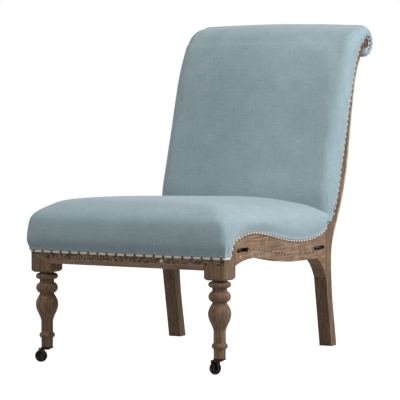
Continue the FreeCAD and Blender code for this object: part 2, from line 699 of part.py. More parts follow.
# Seat stuffing and its linen cover: one crowned form, and the same form drawn in
def seat_plan(inset, z):
    front = SEAT_FRONT + inset
    rear = FRAME_DEPTH - FACE_FIT
    wide = BLOCK_OUT + SIDE_BULGE - inset
    narrow = POST_OUT + SIDE_BULGE - inset
    at_corner = wide + (narrow - wide) * SEAT_CORNER / (rear - front)
    bend = SEAT_CORNER * (1 - math.sqrt(0.5))

    def corner(sign):
        ends = [(wide - SEAT_CORNER, front), (wide - bend, front + bend),
                (at_corner, front + SEAT_CORNER)]
        return Part.Arc(*[V(sign * x, y, z) for x, y in ends]).toShape()

    def edge(a, b):
        return Part.makeLine(V(*a, z), V(*b, z))

    return Part.Wire([edge((SEAT_CORNER - wide, front), (wide - SEAT_CORNER, front)), corner(1),
                      edge((at_corner, front + SEAT_CORNER), (narrow, rear)),
                      edge((narrow, rear), (-narrow, rear)),
                      edge((-narrow, rear), (-at_corner, front + SEAT_CORNER)), corner(-1)])


def seat_height(x, y):
    share = (y - SEAT_FRONT) / (FRAME_DEPTH - SEAT_FRONT)
    half = BLOCK_OUT + SIDE_BULGE + (POST_OUT - BLOCK_OUT) * share
    fall = SEAT_FALL * y / FRAME_DEPTH
    side = SIDE_DROP * (abs(x) / half) ** SIDE_POWER
    front = FRONT_DROP * math.exp(-(y - SEAT_FRONT) / FRONT_ROLL)
    return BASE + SEAT_CROWN - fall - math.hypot(side, front)


def seat_form(inset):
    plans = [seat_plan(inset + SKIRT_TUCK, SKIRT_Z), seat_plan(inset, SKIRT_Z + SKIRT_H),
             seat_plan(inset, BASE + SEAT_CROWN + SKIRT_H)]
    walls = Part.makeLoft(plans, True, True)
    shares = [i / SEAT_STEPS for i in range(SEAT_STEPS + 1)]
    xs = [(BLOCK_OUT + SIDE_BULGE) * (2 * s - 1) for s in shares]
    ys = [SEAT_FRONT + (FRAME_DEPTH - SEAT_FRONT) * s for s in shares]
    top = Part.BSplineSurface()
    top.interpolate([[V(x, y, seat_height(x, y) - inset) for y in ys] for x in xs])
    return walls.common(top.toShape().extrude(V(0, 0, -BASE)))


def seat_support():
    low = BASE - BATTEN_H
    lift = rail_top()
    lift.translate(V(0, 0, SOFT_GAP))
    front_top = BASE + FRONT_TOP + SOFT_GAP
    rear_top = BASE + REAR_TOP + SOFT_GAP
    face_y = -HALF_BLOCK - SOFT_GAP
    rear_y = FRAME_DEPTH + BLOCK
    behind = [line((FRAME_DEPTH, rear_top), (rear_y, rear_top)), line((rear_y, rear_top), (rear_y, low))]
    core = face_of([line((face_y, low), (face_y, front_top)),
                    line((face_y, front_top), (HALF_BLOCK, front_top)),
                    lift.toShape(), line((rear_y, low), (face_y, low))] + behind)
    inside = [(rail_out(face_y) + SOFT_GAP, face_y), (rail_out(rear_y) + SOFT_GAP, rear_y)]
    wood = across(core, -REACH, REACH).common(
        plate(inside + [(-x, y) for x, y in reversed(inside)], 0, REACH))
    hump = (HUMP_Y, BASE + HUMP_TOP + SOFT_GAP)
    start = lift.parameter(point(*hump))
    climb = [(run * HUMP_Y, SKIRT_Z + rise * (hump[1] - SKIRT_Z)) for run, rise in HUMP_SWEEP]
    sweep = spline([(0, SKIRT_Z)] + climb + [hump])
    edge = face_of([line((-REACH, low), (-REACH, SKIRT_Z)), line((-REACH, SKIRT_Z), (0, SKIRT_Z)),
                    sweep.toShape(), lift.toShape(start, lift.LastParameter),
                    line((rear_y, low), (-REACH, low))] + behind)
    springs_room = canvas_tray(SOFT_GAP, low, CANVAS_Z + CANVAS + SOFT_GAP)
    return [wood, across(edge, -REACH, REACH), springs_room]


# Back stuffing and its linen cover: the side view of the padding, drawn across the chair
def beside(curve, distances):
    steps = len(distances) - 1
    first = curve.FirstParameter
    span = curve.LastParameter - first
    shifted = []
    for step, distance in enumerate(distances):
        u = first + span * step / steps
        place = curve.value(u)
        tangent = curve.tangent(u)[0]
        shifted.append((place.y - tangent.z * distance, place.z + tangent.y * distance))
    return shifted


def pad_face(inset, roll_inset):
    depths = [PAD] * (PAD_SAMPLES - 3) + [(3 * PAD + PAD_TOP) / 4, (PAD + PAD_TOP) / 2, PAD_TOP]
    outer = beside(spline(post_front_points()), [d - inset for d in depths])[1:]
    radius = ROLL_R - roll_inset
    top = on_circle(ROLL, radius, ROLL_START)
    tail = on_circle(ROLL, radius, ROLL_END)
    low = BASE + PAD_BOTTOM + inset
    front = [p for p in outer if low + PAD_TOP < p[1] and p[0] < top[0] - ROLL_R / 2]
    heel = (front[0][0] - (front[1][0] - front[0][0]) / 2, low)
    inner = [(y + WRAP, z) for y, z in post_front_points()[1:len(POST_FRONT)]]
    roll = arc(ROLL, radius, ROLL_START, ROLL_END - 360)
    return face_of([spline([heel] + front + [top]).toShape(), roll,
                    line(tail, inner[-1]), spline(inner).toShape(), line(inner[0], heel)])


def back_form(inset):
    half = POST_OUT + BACK_BULGE - inset
    sections = []
    for step in range(ROUND_STEPS + 1):
        turn = math.pi / 2 * step / ROUND_STEPS
        drawn_in = 1 - math.cos(turn)
        ring = pad_face(inset + PAD_ROUND * drawn_in, inset + ROLL_ROUND * drawn_in).OuterWire
        sections.append((half - PAD_ROUND * (1 - math.sin(turn)), ring))
    left = [(-x, ring) for x, ring in reversed(sections)]
    rings = []
    for x, ring in left + sections:
        moved = ring.copy()
        moved.translate(V(x, 0, 0))
        rings.append(moved)
    return Part.makeLoft(rings, True, True)


def frame_front(distance):
    return spline(beside(spline(post_front_points()), [distance] * LAYER_SAMPLES))


def frame_room(distance):
    front = frame_front(distance)
    neck = spline([on_post(s) for s in POST_BACK[-3:]] + [on_circle(EYE, EYE_R, EYE_BACK_TURN)])
    back = spline(beside(neck, [-distance] * LAYER_SAMPLES))
    foot = front.value(front.FirstParameter)
    waist = back.value(back.FirstParameter)
    heel = V(0, foot.y + PAD, foot.z)
    through_eye = Part.makeLine(front.value(front.LastParameter), back.value(back.LastParameter))
    return face_of([front.toShape(), through_eye, back.toShape(), Part.makeLine(waist, heel),
                    Part.makeLine(heel, foot)])


def layer(near, far, x0, x1):
    curves = [frame_front(near), frame_front(far)]
    caps = [Part.makeLine(*[c.value(u) for c, u in zip(curves, ends)])
            for ends in zip(*[(c.FirstParameter, c.LastParameter) for c in curves])]
    return across(face_of([c.toShape() for c in curves] + caps), x0, x1)


upright_at = FACE_FIT
cross_at = upright_at + WEB + FACE_FIT
canvas_at = cross_at + WEB + FACE_FIT
pad_at = canvas_at + CANVAS + SOFT_GAP
above_stuff_rail = slab(stuff_rail_z, REACH)
add_group("back_webbing_upright",
          [layer(upright_at, upright_at + WEB, x - half_web, x + half_web).common(above_stuff_rail)
           for x in evenly(BACK_WEB_COUNT, BACK_WEB_PITCH)])
cross_zones = [BASE + CROSS_BACK_Z + i * CROSS_BACK_PITCH for i in range(CROSS_BACK_COUNT)]
add_group("back_webbing_cross",
          [layer(cross_at, cross_at + WEB, -POST_OUT, POST_OUT).common(slab(z, z + WEB_WIDTH))
           for z in cross_zones])
add("back_canvas", layer(canvas_at, canvas_at + CANVAS, -POST_OUT, POST_OUT).common(above_stuff_rail))

frame_half = POST_OUT + SOFT_GAP
posts_room = across(frame_room(pad_at), -frame_half, frame_half)
crest_room = rod(V(-frame_half, EYE[0], EYE[1]), V(1, 0, 0), EYE_R + pad_at, 2 * frame_half)
eye_room = rod(V(-REACH, EYE[0], EYE[1]), V(1, 0, 0), EYE_R - EYE_LAP, 2 * REACH)
back_cuts = [posts_room, crest_room, eye_room]
back_outer = back_form(0)
back_inner = back_form(COVER)
add("back_cover", back_outer.cut(back_inner).cut(back_cuts))
add("back_stuffing", back_inner.cut(back_cuts))

back_room = across(pad_face(-SOFT_GAP, -SOFT_GAP), -REACH, REACH)
seat_cuts = seat_support() + [back_room]
seat_outer = seat_form(0)
seat_inner = seat_form(COVER)
add("seat_cover", seat_outer.cut(seat_inner).cut(seat_cuts))
add("seat_stuffing", seat_inner.cut(seat_cuts))


# Cream braid along the cover's edges, and the tacks that hold it
def front_braid():
    out = BLOCK_OUT + BRAID_THICK
    face = -HALF_BLOCK - BRAID_THICK
    z = SKIRT_Z - SOFT_GAP
    ring = box(-out, out, face, 0, z - BRAID, z)
    return ring.cut(box(-BLOCK_OUT, BLOCK_OUT, -HALF_BLOCK, HALF_BLOCK, z - BRAID, z))


def side_braid():
    top = rail_top()
    low = rail_top()
    low.translate(V(0, 0, -BRAID))
    ends = [(y, BASE + z) for y, z in ((HALF_BLOCK, FRONT_TOP), (FRAME_DEPTH, REAR_TOP))]
    rises = [line((y, z), (y, z - BRAID)) for y, z in ends]
    strip = face_of([top.toShape(), low.toShape()] + rises)
    lines = [(rail_out(y), y) for y in (HALF_BLOCK, FRAME_DEPTH)]
    band = lines + [(x + BRAID_THICK, y) for x, y in reversed(lines)]
    return across(strip, 0, REACH).common(plate(band, 0, REACH))


def back_braid():
    start = [(y + WRAP + SOFT_GAP, z) for y, z in post_front_points()[1:len(POST_FRONT)]]
    end = [(y + BRAID, z) for y, z in start]
    strip = face_of([spline(start).toShape(), spline(end).toShape(), line(start[0], end[0]),
                     line(start[-1], end[-1])])
    return across(strip, POST_OUT, POST_OUT + BRAID_THICK).cut(back_room)


def tack(place, normal):
    head = rod(place, normal, TACK_R, TACK_HEAD)
    return head.fuse(rod(place, normal * -1, TACK_SHANK_R, TACK_LENGTH))


add("front_braid", front_braid())
add_pair("side_braid", side_braid())
add_pair("back_braid", back_braid())
tack_z = SKIRT_Z - SOFT_GAP - BRAID / 2
tack_count = int(2 * (BLOCK_OUT - TACK_R) / TACK_PITCH) + 1
add_group("front_tacks", [tack(V(x, -HALF_BLOCK - BRAID_THICK, tack_z), V(0, -1, 0))
                          for x in evenly(tack_count, TACK_PITCH)])


# Burlap panel over the open back of the frame, tacked along both posts
def outside_panel():
    strips = []
    for shift in (FACE_FIT, FACE_FIT + OUTSIDE):
        curve = spline(post_back_points())
        curve.translate(V(0, shift, 0))
        strips.append(curve)
    near, far = strips
    ends = (near.FirstParameter, near.LastParameter)
    caps = [Part.makeLine(near.value(u), far.value(u)) for u in ends]
    strip = face_of([near.toShape(), far.toShape()] + caps)
    return across(strip, -POST_OUT, POST_OUT).common(slab(BASE + OUTSIDE_Z, BASE + OUTSIDE_TOP))


add("outside_back", outside_panel())
back_curve = spline(post_back_points())
back_curve.translate(V(0, FACE_FIT + OUTSIDE, 0))
panel_tacks = []
rise = OUTSIDE_TOP - OUTSIDE_Z - 2 * OUTSIDE_MARGIN
steps = int(rise / OUTSIDE_TACK_PITCH)
for step in range(steps + 1):
    z = BASE + OUTSIDE_Z + OUTSIDE_MARGIN + rise * step / steps
    level = Part.Plane(V(0, 0, z), V(0, 0, 1))
    spot = back_curve.intersect(level)[0][0]
    place = V(POST_OUT - OUTSIDE_MARGIN, spot.Y, z)
    tangent = back_curve.tangent(back_curve.parameter(V(0, spot.Y, z)))[0]
    nail = tack(place, V(0, tangent.z, -tangent.y))
    panel_tacks += [nail, mirrored(nail)]
add_group("outside_back_tacks", panel_tacks)

os.makedirs("parts", exist_ok=True)
for name, shape in pieces.items():
    shape.translate(V(0, -MIDDLE, 0))
    shape.exportStep("parts/" + name + ".step")
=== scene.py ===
import math
import random

import bpy
import numpy as np
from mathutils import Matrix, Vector
from mathutils.bvhtree import BVHTree


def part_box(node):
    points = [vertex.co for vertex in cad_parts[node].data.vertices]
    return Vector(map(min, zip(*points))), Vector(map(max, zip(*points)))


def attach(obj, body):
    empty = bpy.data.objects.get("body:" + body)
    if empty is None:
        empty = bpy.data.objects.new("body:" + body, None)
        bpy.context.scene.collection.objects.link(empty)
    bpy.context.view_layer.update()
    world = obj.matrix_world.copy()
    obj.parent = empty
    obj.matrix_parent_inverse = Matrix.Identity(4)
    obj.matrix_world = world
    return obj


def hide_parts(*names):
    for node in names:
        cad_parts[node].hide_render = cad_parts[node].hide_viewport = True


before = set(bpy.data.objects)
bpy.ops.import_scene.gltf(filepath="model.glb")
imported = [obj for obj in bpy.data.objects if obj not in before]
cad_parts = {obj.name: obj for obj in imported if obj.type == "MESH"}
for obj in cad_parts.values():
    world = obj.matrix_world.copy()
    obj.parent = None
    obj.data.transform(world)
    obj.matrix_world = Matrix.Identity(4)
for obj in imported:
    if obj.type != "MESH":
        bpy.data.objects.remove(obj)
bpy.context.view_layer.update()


# Swivel casters: sand-cast iron plates, stems and forks with a dark bronze patina, set up into the
# front legs by their stems. The wheels are turned from the same iron, and their treads are rubbed
# brighter.
MM = 0.001
IRON_GRAIN = 2.0 * MM      # sand-cast grain of about 0.5 mm, drawn coarser so that it shows
IRON_BLOOM = 9.0 * MM      # patches where the patina has worn thin


def linear(hex_colour):
    """An sRGB hex value as the linear colour that a socket takes."""
    shades = [int(hex_colour[i:i + 2], 16) / 255 for i in (1, 3, 5)]
    return [c / 12.92 if c <= 0.04045 else ((c + 0.055) / 1.055) ** 2.4 for c in shades] + [1.0]


def add_node(tree, kind, settings, inputs):
    """One node with its settings; an input is a plain value or another node's output."""
    made = tree.nodes.new(kind)
    for name, value in settings.items():
        setattr(made, name, value)
    for socket, value in inputs.items():
        if isinstance(value, bpy.types.NodeSocket):
            tree.links.new(value, made.inputs[socket])
        else:
            made.inputs[socket].default_value = value
    return made


def start_material(name):
    """A new material with an empty tree, and the coordinates of the piece that wears it."""
    material = bpy.data.materials.new(name)
    material.use_nodes = True
    material.node_tree.nodes.clear()
    tree = material.node_tree
    return material, tree, add_node(tree, "ShaderNodeTexCoord", {}, {}).outputs["Object"]


def dress(material, *names):
    """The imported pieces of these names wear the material."""
    for name in names:
        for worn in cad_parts[name].material_slots:
            worn.material = material


def patinated_iron(name, patina, worn, roughness):
    """Dark cast iron: a warm near-black skin, a little brighter where hands and floor rub it."""
    material, tree, place = start_material(name)
    bloom = add_node(tree, "ShaderNodeTexNoise", {}, {"Vector": place, "Scale": 1 / IRON_BLOOM})
    grain = add_node(tree, "ShaderNodeTexNoise", {},
                     {"Vector": place, "Scale": 1 / IRON_GRAIN, "Detail": 4.0})
    wear = add_node(tree, "ShaderNodeMapRange", {},
                    {"Value": bloom.outputs[0], "From Min": 0.45, "From Max": 0.75})
    colour = add_node(tree, "ShaderNodeMix", {"data_type": "RGBA"},
                      {0: wear.outputs[0], 6: linear(patina), 7: linear(worn)})
    bump = add_node(tree, "ShaderNodeBump", {},
                    {"Height": grain.outputs[0], "Distance": 0.3 * MM, "Strength": 0.5})
    iron = add_node(tree, "ShaderNodeBsdfPrincipled", {},
                    {"Base Color": colour.outputs[2], "Metallic": 1.0, "Roughness": roughness,
                     "Normal": bump.outputs[0]})
    add_node(tree, "ShaderNodeOutputMaterial", {}, {"Surface": iron.outputs[0]})
    return material


caster_iron = patinated_iron("cast_iron_bronze_patina", "#181310", "#43362C", 0.36)
wheel_iron = patinated_iron("turned_iron_worn_tread", "#141110", "#352C27", 0.30)
for side in ("left", "right"):
    dress(caster_iron, *(f"caster_{piece}_{side}" for piece in ("plate", "stem", "fork", "axle")))
    dress(wheel_iron, f"caster_wheel_{side}")


# The frame: old oak, sawn and turned, stripped of its finish and left dry. The side rails are bolted
# to the legs and posts, and the grain runs along each piece.
OAK_RING = 5.0 * MM        # width of a growth ring across the grain
OAK_FIBRE = 1.6 * MM       # pores of about 0.3 mm, drawn coarser so that they show
OAK_STAIN = 45.0 * MM      # patches of grime and bleached wood
OAK_DRAWN_OUT = 22.0       # how much longer than wide the figure is
EDGE_WEAR = 2.5 * MM       # how far in from an edge the wood is rubbed pale
NOOK_SHADE_REACH = 12.0 * MM    # how wide a nook is darkened by painted shade
RAIL_SHADES = ("#4A3627", "#8C7057", "#9E8C78", "#B4997E")     # dark, pale, bleached, rubbed
SIDE_SHADES = ("#583F2D", "#99785C", "#AA947D", "#B99C81")     # the side rails are the palest
LEG_SHADES = ("#3F2B1C", "#836549", "#937D62", "#AA8E6C")      # the legs and posts the darkest
PORE_SHADE = "#3D2D22"
# the colour of the painted shade in the nooks
PAINTED_NOOK_SHADE = "#2A1C12"


def weathered_oak(name, along, shades):
    """Dry grey-brown oak: dark open pores in pale figure, bleached patches, rubbed pale edges, and
    painted shade that darkens the nooks."""
    late_wood, early_wood, bleached, worn = (linear(shade) for shade in shades)
    material, tree, place = start_material(name)
    stretch = [1 / OAK_DRAWN_OUT if axis == along else 1.0 for axis in "xyz"]
    grain = add_node(tree, "ShaderNodeMapping", {}, {"Vector": place, "Scale": stretch})
    rings = add_node(tree, "ShaderNodeTexNoise", {},
                     {"Vector": grain.outputs[0], "Scale": 1 / OAK_RING, "Detail": 3.0,
                      "Distortion": 0.6})
    fibre = add_node(tree, "ShaderNodeTexNoise", {},
                     {"Vector": grain.outputs[0], "Scale": 1 / OAK_FIBRE, "Detail": 2.0})
    stain = add_node(tree, "ShaderNodeTexNoise", {},
                     {"Vector": place, "Scale": 1 / OAK_STAIN, "Detail": 5.0, "Roughness": 0.6})
    figure = add_node(tree, "ShaderNodeMapRange", {},
                      {"Value": rings.outputs[0], "From Min": 0.32, "From Max": 0.68})
    wood = add_node(tree, "ShaderNodeMix", {"data_type": "RGBA"},
                    {0: figure.outputs[0], 6: late_wood, 7: early_wood})
    bleach = add_node(tree, "ShaderNodeMapRange", {},
                      {"Value": stain.outputs[0], "From Min": 0.50, "From Max": 0.72,
                       "To Max": 0.55})
    aged = add_node(tree, "ShaderNodeMix", {"data_type": "RGBA"},
                    {0: bleach.outputs[0], 6: wood.outputs[2], 7: bleached})
    pores = add_node(tree, "ShaderNodeMapRange", {},
                     {"Value": fibre.outputs[0], "From Min": 0.58, "From Max": 0.70,
                      "To Max": 0.65})
    pored = add_node(tree, "ShaderNodeMix", {"data_type": "RGBA"},
                     {0: pores.outputs[0], 6: aged.outputs[2], 7: linear(PORE_SHADE)})
    eased = add_node(tree, "ShaderNodeBevel", {"samples": 4}, {"Radius": EDGE_WEAR})
    flat = add_node(tree, "ShaderNodeNewGeometry", {}, {})
    turned = add_node(tree, "ShaderNodeVectorMath", {"operation": "DOT_PRODUCT"},
                      {0: eased.outputs[0], 1: flat.outputs["Normal"]})
    rubbed = add_node(tree, "ShaderNodeMapRange", {},
                      {"Value": turned.outputs["Value"], "From Min": 0.98, "From Max": 0.80,
                       "To Max": 0.5})
    edged = add_node(tree, "ShaderNodeMix", {"data_type": "RGBA"},
                     {0: rubbed.outputs[0], 6: pored.outputs[2], 7: worn})
    # Painted shade: ambient occlusion darkens the wood in nooks, in the necks of the turnings and
    # between parts.
    nook = add_node(tree, "ShaderNodeAmbientOcclusion", {"samples": 6}, {"Distance": NOOK_SHADE_REACH})
    nook_shade_amount = add_node(tree, "ShaderNodeMapRange", {},
                     {"Value": nook.outputs["AO"], "From Min": 0.80, "From Max": 0.30,
                      "To Max": 0.80})
    nook_shaded = add_node(tree, "ShaderNodeMix", {"data_type": "RGBA"},
                      {0: nook_shade_amount.outputs[0], 6: edged.outputs[2], 7: linear(PAINTED_NOOK_SHADE)})
    relief = add_node(tree, "ShaderNodeMix", {"data_type": "FLOAT"},
                      {0: 0.5, 2: rings.outputs[0], 3: fibre.outputs[0]})
    bump = add_node(tree, "ShaderNodeBump", {},
                    {"Height": relief.outputs[0], "Distance": 0.8 * MM, "Strength": 0.55,
                     "Normal": eased.outputs[0]})
    dry = add_node(tree, "ShaderNodeMapRange", {},
                   {"Value": stain.outputs[0], "To Min": 0.62, "To Max": 0.88})
    oak = add_node(tree, "ShaderNodeBsdfPrincipled", {},
                   {"Base Color": nook_shaded.outputs[2], "Roughness": dry.outputs[0],
                    "Normal": bump.outputs[0]})
    add_node(tree, "ShaderNodeOutputMaterial", {}, {"Surface": oak.outputs[0]})
    return material


oak_across = weathered_oak("weathered_oak_grain_across", "x", RAIL_SHADES)
oak_deep = weathered_oak("weathered_oak_grain_front_to_back", "y", SIDE_SHADES)
oak_upright = weathered_oak("weathered_oak_grain_upright", "z", LEG_SHADES)
dress(oak_across, "front_rail", "rear_rail", "back_stuffing_rail", "crest_rail")
for side in ("left", "right"):
    dress(oak_upright, f"front_leg_{side}", f"rear_post_{side}")
    dress(oak_deep, f"side_rail_{side}", f"knee_bracket_{side}")


# Old tack holes: earlier covers were tacked to the same rails, and pulling them left torn pits in
# the oak, crowded on the front rail below the hem and in rows along the side rails and posts.
PIT_CORNERS = 7
PIT_R = (1.5 * MM, 3.3 * MM)
PIT_UNEVEN = (0.8, 1.2)        # shares of its size between which a pit's edge wanders
PIT_MARGIN = (4.0 * MM, 1.0 * MM)         # clear of the tacked band's edges, across and up
SIDE_PIT_R = (2.0 * MM, 3.6 * MM)
SIDE_PIT_ENDS = (60.0 * MM, 80.0 * MM)    # clear of the side rail's front and rear ends
SIDE_PIT_OUT = 4.0 * MM        # the rail's lower edge is read this far outside its middle
SIDE_PIT_STRAY = (3.0, 2.0)    # mm out of the row, along the rail and up or down
PIT_RINGS = ((1.0, 0.05 * MM), (0.70, 0.70 * MM), (0.45, 0.08 * MM))     # share of size, height
FRONT_PITS = 520
SIDE_PIT_PITCH = 9.0 * MM
SIDE_PIT_RISE = 20.0 * MM      # above the side rail's lower edge
POST_PIT_PITCH = 6.0 * MM
PEG_NEAR = 8.0 * MM            # no pits this near the front rail's peg
POST_PIT_IN = (7.0, 15.0)      # mm behind the post's front edge
STRIP_H = 13.0 * MM            # smooth strip along the front rail's lower edge, never tacked
TEAR = 2.5 * MM                # torn fibres of about 0.5 mm, drawn coarser so that they show
SPLINTER = 1.5 * MM            # and so are the splinters
EDGE_IN = 0.5 * MM             # the post's front edge is read this far inside its braid
FACING = 0.9                   # how squarely a pitted face looks out of the chair
FAR_OUT = 0.6                  # rays that look for a surface start here, clear of the chair
IN_FRONT = -0.5                # and here, where they look back from the front
wear_draw = random.Random(11)


def skin_of(name):
    """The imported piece's surface, for finding points on it."""
    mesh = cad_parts[name].data
    return BVHTree.FromPolygons([v.co for v in mesh.vertices],
                                [tuple(p.vertices) for p in mesh.polygons])


def new_piece(name, points, faces, material):
    """A mesh that rides on the chair's frame and wears the material."""
    mesh = bpy.data.meshes.new(name)
    mesh.from_pydata([tuple(p) for p in points], [], faces)
    mesh.update()
    mesh.shade_smooth()
    piece = bpy.data.objects.new(name, mesh)
    bpy.context.scene.collection.objects.link(piece)
    mesh.materials.append(material)
    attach(piece, "chair_frame")
    return piece


def round_marks(name, spots, sizes, profile, worn):
    """Small uneven rounds at points with their normals: rings of a share of the size and a height.
    The outer ring of every other one wears the second material, if there are two."""
    points = []
    faces = []
    for spot, normal in spots:
        first = normal.orthogonal().normalized()
        second = normal.cross(first)
        size = wear_draw.uniform(*sizes)
        start = len(points)
        for ring, height in profile:
            for k in range(PIT_CORNERS):
                turn = 2 * math.pi * k / PIT_CORNERS
                reach = size * ring * wear_draw.uniform(*PIT_UNEVEN)
                points.append(spot + normal * height + first * (reach * math.cos(turn))
                              + second * (reach * math.sin(turn)))
        for ring in range(2):
            for k in range(PIT_CORNERS):
                a = start + ring * PIT_CORNERS + k
                b = start + ring * PIT_CORNERS + (k + 1) % PIT_CORNERS
                faces.append((a, b, b + PIT_CORNERS, a + PIT_CORNERS))
        faces.append(tuple(start + 2 * PIT_CORNERS + k for k in range(PIT_CORNERS)))
    piece = new_piece(name, points, faces, worn[0])
    if len(worn) > 1:
        piece.data.materials.append(worn[1])
        for face in piece.data.polygons:
            mark, part = divmod(face.index, 2 * PIT_CORNERS + 1)
            face.material_index = mark % 2 == 0 and part < PIT_CORNERS
    return piece


def mottled(name, dark, pale, spot, roughness, metallic=0.0):
    """A finish in two shades that run into each other in spots of one size."""
    material, tree, place = start_material(name)
    blotch = add_node(tree, "ShaderNodeTexNoise", {}, {"Vector": place, "Scale": 1 / spot})
    shade = add_node(tree, "ShaderNodeMix", {"data_type": "RGBA"},
                     {0: blotch.outputs[0], 6: linear(dark), 7: linear(pale)})
    finish = add_node(tree, "ShaderNodeBsdfPrincipled", {},
                      {"Base Color": shade.outputs[2], "Metallic": metallic,
                       "Roughness": roughness})
    add_node(tree, "ShaderNodeOutputMaterial", {}, {"Surface": finish.outputs[0]})
    return material


# Torn oak is dark and dull inside a pit, and its fresh splinters stand pale round the rim. The pits are
# shallow marks, not holes, so their dark colour is partly torn wood and partly painted shade of a
# hole's depth.
pit_dark_and_painted_shade = mottled("torn_oak_pits_painted_shade", "#1E150F", "#4A382B", TEAR, 0.9)
oak_splinter = mottled("pale_oak_splinters", "#7A5F49", "#D6C3A4", SPLINTER, 0.9)

rail_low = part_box("front_rail")[0]
tape_low, tape_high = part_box("front_braid")
edge_skin = skin_of("back_braid_right")
edge_low, edge_high = (Vector(c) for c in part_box("back_braid_right"))


def post_edge(z):
    """The point of the post's front edge at a height, or nothing past the edge's ends."""
    return edge_skin.ray_cast(Vector((edge_low.x + EDGE_IN, IN_FRONT, z)), Vector((0, 1, 0)))[0]


front_skins = [skin_of(name) for name in ("front_rail", "front_leg_left", "front_leg_right")]
peg_points = [v.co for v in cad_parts["joint_pegs"].data.vertices
              if v.co.y < rail_low[1] + PEG_NEAR]
front_peg = sum(peg_points, Vector()) / len(peg_points)
spots = []
while len(spots) < FRONT_PITS:
    x = wear_draw.uniform(tape_low[0] + PIT_MARGIN[0], tape_high[0] - PIT_MARGIN[0])
    z = wear_draw.uniform(rail_low[2] + STRIP_H + PIT_MARGIN[1], tape_low[2] - PIT_MARGIN[1])
    if abs(x - front_peg.x) < PEG_NEAR:
        continue
    hits = [skin.ray_cast(Vector((x, IN_FRONT, z)), Vector((0, 1, 0)))
            for skin in front_skins]
    hit, normal, _, _ = min((h for h in hits if h[0] is not None), key=lambda h: h[0].y)
    if normal.y < -FACING:
        spots.append((hit, normal))
round_marks("front_rail_pits", spots, PIT_R, PIT_RINGS, (pit_dark_and_painted_shade, oak_splinter))
for side, way in (("left", -1), ("right", 1)):
    rail_skin = skin_of(f"side_rail_{side}")
    low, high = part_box(f"side_rail_{side}")
    spots = []
    for y in np.arange(low[1] + SIDE_PIT_ENDS[0], high[1] - SIDE_PIT_ENDS[1], SIDE_PIT_PITCH):
        under, _, _, _ = rail_skin.ray_cast(
            Vector((way * (abs(low[0] + high[0]) / 2 + SIDE_PIT_OUT), y, 0.0)), Vector((0, 0, 1)))
        if under is None:
            continue
        z = under.z + SIDE_PIT_RISE + wear_draw.uniform(-SIDE_PIT_STRAY[1], SIDE_PIT_STRAY[1]) * MM
        stray = wear_draw.uniform(-SIDE_PIT_STRAY[0], SIDE_PIT_STRAY[0]) * MM
        hit, normal, _, _ = rail_skin.ray_cast(Vector((way * FAR_OUT, y + stray, z)),
                                               Vector((-way, 0, 0)))
        if hit is not None and way * normal.x > FACING:
            spots.append((hit, normal))
    round_marks(f"side_rail_pits_{side}", spots, SIDE_PIT_R, PIT_RINGS, (pit_dark_and_painted_shade, oak_splinter))
    post_skin = skin_of(f"rear_post_{side}")
    spots = []
    for z in np.arange(edge_low.z, edge_high.z, POST_PIT_PITCH):
        edge = post_edge(z)
        if edge is None:
            continue
        spot = Vector((way * FAR_OUT, edge.y + wear_draw.uniform(*POST_PIT_IN) * MM, z))
        hit, normal, _, _ = post_skin.ray_cast(spot, Vector((-way, 0, 0)))
        if hit is not None and way * normal.x > FACING:
            spots.append((hit, normal))
    round_marks(f"post_pits_{side}", spots, PIT_R, PIT_RINGS, (pit_dark_and_painted_shade, oak_splinter))


# Dowels and pegs: a dark red-brown dowel runs into each end of the crest and shows in the scroll's
# eye as a round plug of end grain. Paler pegs plug the front and side rails.
DOWEL_RING = 13.823 * MM   # growth rings of about 1 mm, drawn far coarser so that they show
WAVE_LENGTH = 0.1 * math.pi       # a wave pattern of scale 1 repeats at this length
dowel_low, dowel_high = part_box("crest_dowel_right")
eye = Vector((0, (dowel_low[1] + dowel_high[1]) / 2, (dowel_low[2] + dowel_high[2]) / 2))


def end_grain(name, centre, dark, pale):
    """Cut end grain: rings round the peg's middle, dull and a little rough from the saw."""
    material, tree, place = start_material(name)
    middle = add_node(tree, "ShaderNodeMapping", {}, {"Vector": place, "Location": -centre})
    rings = add_node(tree, "ShaderNodeTexWave",
                     {"wave_type": "RINGS", "rings_direction": "X"},
                     {"Vector": middle.outputs[0], "Scale": WAVE_LENGTH / DOWEL_RING, "Distortion": 4.0,
                      "Detail": 3.0})
    colour = add_node(tree, "ShaderNodeMix", {"data_type": "RGBA"},
                      {0: rings.outputs["Fac"], 6: linear(dark), 7: linear(pale)})
    bump = add_node(tree, "ShaderNodeBump", {},
                    {"Height": rings.outputs["Fac"], "Distance": 0.3 * MM, "Strength": 0.4})
    wood = add_node(tree, "ShaderNodeBsdfPrincipled", {},
                    {"Base Color": colour.outputs[2], "Roughness": 0.7, "Normal": bump.outputs[0]})
    add_node(tree, "ShaderNodeOutputMaterial", {}, {"Surface": wood.outputs[0]})
    return material


dress(end_grain("stained_beech_end_grain", eye, "#4A2A22", "#6B4033"),
      "crest_dowel_left", "crest_dowel_right")
dress(end_grain("pale_oak_peg_end_grain", Vector((0, 0, 0)), "#B5A28B", "#DCCDB6"), "joint_pegs")


# Inside the seat frame: sawn pine battens and corner braces, screwed and glued to the rails, and
# the dull steel of screws, frame bolts and springs.
PINE_RING = 6.0 * MM       # width of a growth ring across the grain
WIRE_MARK = 1.5 * MM       # drawing marks along the wire, drawn coarser so that they show

